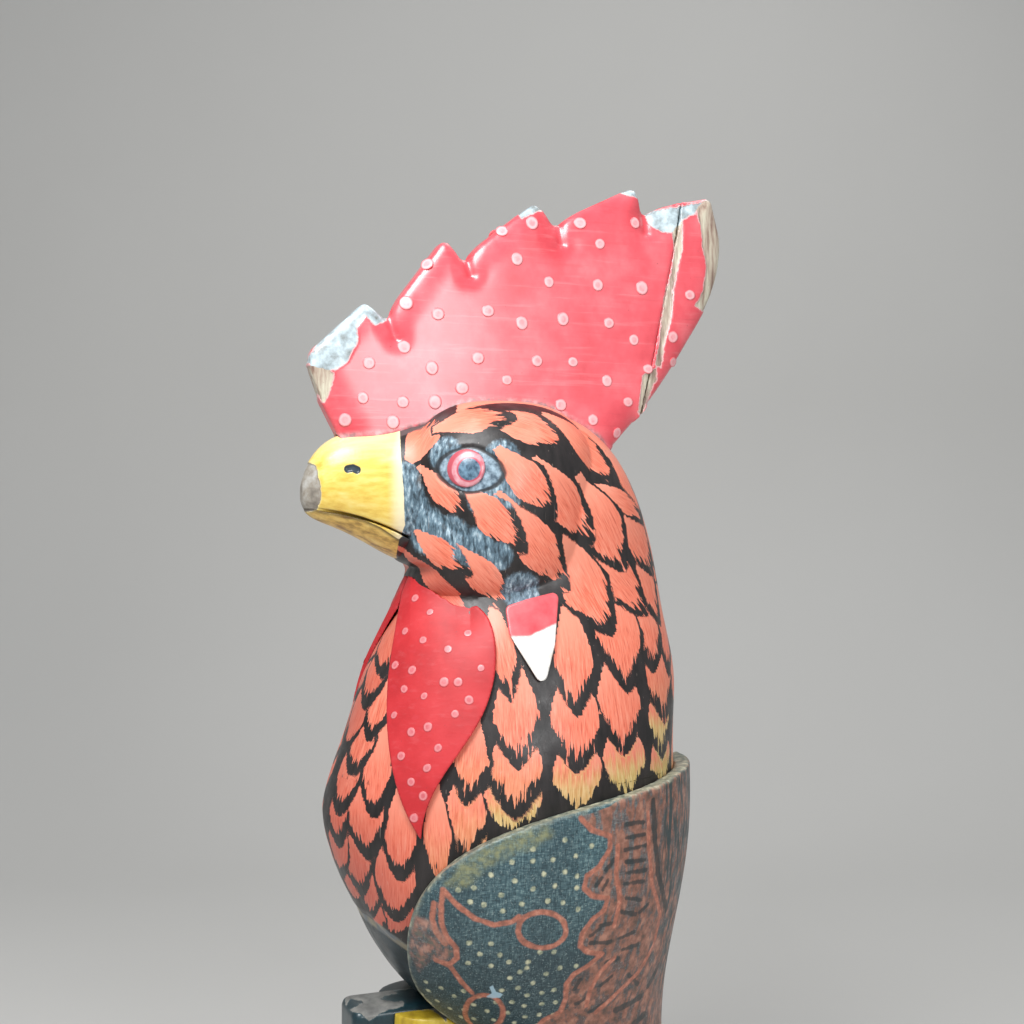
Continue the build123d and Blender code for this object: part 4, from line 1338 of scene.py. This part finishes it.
def wingDots(points, unseen):
    dots = castLine(wing["dots"])
    for i in rng.permutation(np.nonzero(unseen)[0]):
        if len(dots) >= len(wing["dots"]) + wing["moreDots"]:
            break
        if min(np.linalg.norm(points[i] - dot) for dot in dots) > wing["dotGap"] * millimetre:
            dots.append(points[i])
    return dots


def nearestLine(points, lines, half):
    nearest = np.full(len(points), unreached)
    for line in lines:
        nearest = np.minimum(nearest, lineReach(points, line) / millimetre - half)
    return nearest


drawnLines = wingLines()
barLines = [castLine(line) for line in wing["bars"]]
gapLines = [castLine(line) for line in wing["gaps"]]
for side in ("left", "right"):
    panel = carvedFrom(side + "_wing", side + "Wing", wing["voxel"], wing["rounds"])
    points = places(panel)
    standOff = skinReach(points, trunkSkin)
    onEdge = (standOff > wing["rimStand"][0]) & (standOff < wing["rimStand"][1])
    onEdge &= skinReach(points, dowelSkin) > wing["dowelClear"]
    fromRim = pointReach(points, points[onEdge])
    points = leftward(points)
    pixels = toPhoto(points)
    rust = ramped(outlineDepth(pixels, wing["rustField"]), *wing["rustEdge"])
    unseen = (pixels[:, 1] > wing["dotsFrom"]) & (rust < wing["dotRust"])
    unseen &= standOff > wing["dotStand"]
    fromDots = pointReach(points, wingDots(points, unseen)) - wing["dotHalf"]
    bars = nearestLine(points, barLines, wing["barHalf"])
    bars = np.minimum(bars, nearestLine(points, gapLines, wing["gapHalf"]))
    pink = ramped(outlineDepth(pixels, wing["pinkWear"]), *wing["pinkEdge"])
    dust = ramped(outlineDepth(pixels, wing["yellowDust"]), *wing["dustEdge"])
    # share of the height, for the painted shade low on the wing
    height = (points[:, 2] - points[:, 2].min()) / np.ptp(points[:, 2])
    setField(panel, "wear", fromRim, nearestLine(points, drawnLines, wing["lineHalf"]), fromDots)
    setField(panel, "drawn", rust, bars, ramped(pixels[:, 0], *wing["hatchFrom"]) * rust)
    setField(panel, "dust", pink, dust, height)
    setField(panel, "smudge", outlineDepth(pixels, wing["smudge"]) / pixelsPerMillimetre)
    dress(panel, wingCoat, "wing_paint", side + "_wing")
print("wings")

# tail fan and sickles
tail = {"voxel": 0.8, "rounds": 4}
tailCoat = tealPaint("tailPaint")
for node, pieceName in (
    ("tail_fan", "tailFan"),
    ("left_sickle", "leftSickle"),
    ("right_sickle", "rightSickle"),
):
    plumes = carvedFrom(node, pieceName, tail["voxel"], tail["rounds"])
    wearFrom(plumes)
    dress(plumes, tailCoat, "wing_paint", node)

# leg block, legs and base
stand = {
    "voxel": 0.8,
    "rounds": 3,
    "topTurn": (0.3, 0.6),
    "topReach": (8.0, 4.0),     # how far below its top the far leg turns dark
    "blockChips": [
        [
            (348, 1010), (357, 1006), (366, 1001), (377, 999), (394, 1001), (404, 1000),
            (404, 1006), (393, 1009), (380, 1013), (370, 1021), (361, 1014),
        ],
    ],
    "legChips": [
        [
            (411, 993), (420, 991), (429, 999), (440, 1006), (447, 1017), (446, 1022),
            (439, 1014), (430, 1009), (421, 1010), (413, 1006),
        ],
        [(395, 1006), (403, 1004), (411, 1003), (413, 1009), (400, 1011)],
    ],
}
blockCoat, legCoat = tealPaint("blockPaint"), legPaint()
for node, pieceName, coat, slot, chips in (
    ("leg_block", "legBlock", blockCoat, "base_paint", stand["blockChips"]),
    ("base_plate", "basePlate", blockCoat, "base_paint", ()),
    ("left_leg", "leftLeg", legCoat, "beak_paint", stand["legChips"]),
    ("right_leg", "rightLeg", legCoat, "beak_paint", stand["legChips"]),
):
    piece = carvedFrom(node, pieceName, stand["voxel"], stand["rounds"])
    wearFrom(piece, chips)
    height = places(piece)[:, 2]
    low, high = (height.max() - reach * millimetre for reach in stand["topReach"])
    top = ramped(facings(piece)[:, 2], *stand["topTurn"]) * ramped(height, low, high)
    setField(piece, "top", top * (node == "right_leg"))
    dress(piece, coat, slot, node)
print("tail, legs and base")

# dowels and screws keep their solids and get their own finish
woodCoat, steelCoat = bareWood(), screwSteel()
finishes = {"base_screws": steelCoat}
for part in ("block", "wing", "comb"):
    finishes[part + "_dowels"] = woodCoat
for part in ("tail", "neck"):
    finishes[part + "_dowel"] = woodCoat
for node, coat in finishes.items():
    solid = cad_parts[node]
    solid.data.materials.clear()
    solid.data.materials.append(coat)

# floor, light and camera
studio = {
    "floorTones": (rgb(206, 205, 202), rgb(190, 188, 184)),
    "worldTone": (0.94, 0.97, 1.0, 1),
    "worldLevel": 0.42,
    "sweepStart": 0.55,
    "sweepRadius": 0.4,
    "sweepSteps": 16,
    "reach": 3.0,
    "lightsAim": 0.3,
    # turn, lift, distance, size, watts
    "lights": {
        "keyLight": (44, 48, 0.62, 0.34, 4.6),
        "fillLight": (98, 13, 0.9, 0.24, 2.0),
        "backLight": (205, 60, 1.1, 0.7, 3.0),
    },
    "sensor": 36,
    "nearest": 0.01,
}


def studioFloor():
    radius, steps = studio["sweepRadius"], studio["sweepSteps"]
    profile = [(-studio["reach"], 0.0), (studio["sweepStart"], 0.0)]
    for step in range(1, steps + 1):
        turn = math.pi / 2 * step / steps
        away = studio["sweepStart"] + radius * math.sin(turn)
        profile.append((away, radius * (1 - math.cos(turn))))
    profile.append((profile[-1][0], studio["reach"]))
    shape = bmesh.new()
    rows = []
    for away, height in profile:
        middle = upwards * height - towardsLens * away
        ends = [middle + sideways * across for across in (-studio["reach"], studio["reach"])]
        rows.append([shape.verts.new(end) for end in ends])
    for low, high in zip(rows[:-1], rows[1:]):
        shape.faces.new((low[0], low[1], high[1], high[0]))
    bmesh.ops.recalc_face_normals(shape, faces=shape.faces)
    mesh = bpy.data.meshes.new("studioFloor")
    shape.to_mesh(mesh)
    shape.free()
    mesh.polygons.foreach_set("use_smooth", np.ones(len(mesh.polygons), bool))
    floor = added("studioFloor", mesh)
    s = Shader("floorPaper", 0.85)
    paper = s.mix(s.span(s.noise(3, 3), 0.3, 0.7, 0, 0.1), *studio["floorTones"])
    mesh.materials.append(s.done(paper))


def softLight(name, turn, lift, away, size, watts):
    lamp = bpy.data.lights.new(name, "AREA")
    lamp.shape = "DISK"
    lamp.size = size
    lamp.energy = watts
    light = added(name, lamp)
    a, e = math.radians(turn), math.radians(lift)
    out = Vector((math.sin(a) * math.cos(e), -math.cos(a) * math.cos(e), math.sin(e)))
    light.location = Vector((0, 0, studio["lightsAim"])) + out * away
    light.rotation_mode = "QUATERNION"
    light.rotation_quaternion = out.to_track_quat("Z", "Y")


studioFloor()
for name, values in studio["lights"].items():
    softLight(name, *values)

world = bpy.data.worlds.new("studioWorld")
world.use_nodes = True
background = world.node_tree.nodes["Background"]
background.inputs["Color"].default_value = studio["worldTone"]
background.inputs["Strength"].default_value = studio["worldLevel"]
bpy.context.scene.world = world
bpy.context.scene.view_settings.view_transform = "Standard"

camera = bpy.data.cameras.new("photoCamera")
camera.sensor_width = studio["sensor"]
camera.lens = studio["sensor"] * photo["focal"] / photo["size"]
camera.shift_x = (photo["size"] / 2 - photo["axisPixel"]) / photo["size"]
camera.clip_start = studio["nearest"]
cameraObject = added("photoCamera", camera)
cameraObject.location = Vector(lensPlace)
cameraObject.rotation_mode = "QUATERNION"
cameraObject.rotation_quaternion = Vector(-towardsLens).to_track_quat("-Z", "Y")
bpy.context.scene.camera = cameraObject
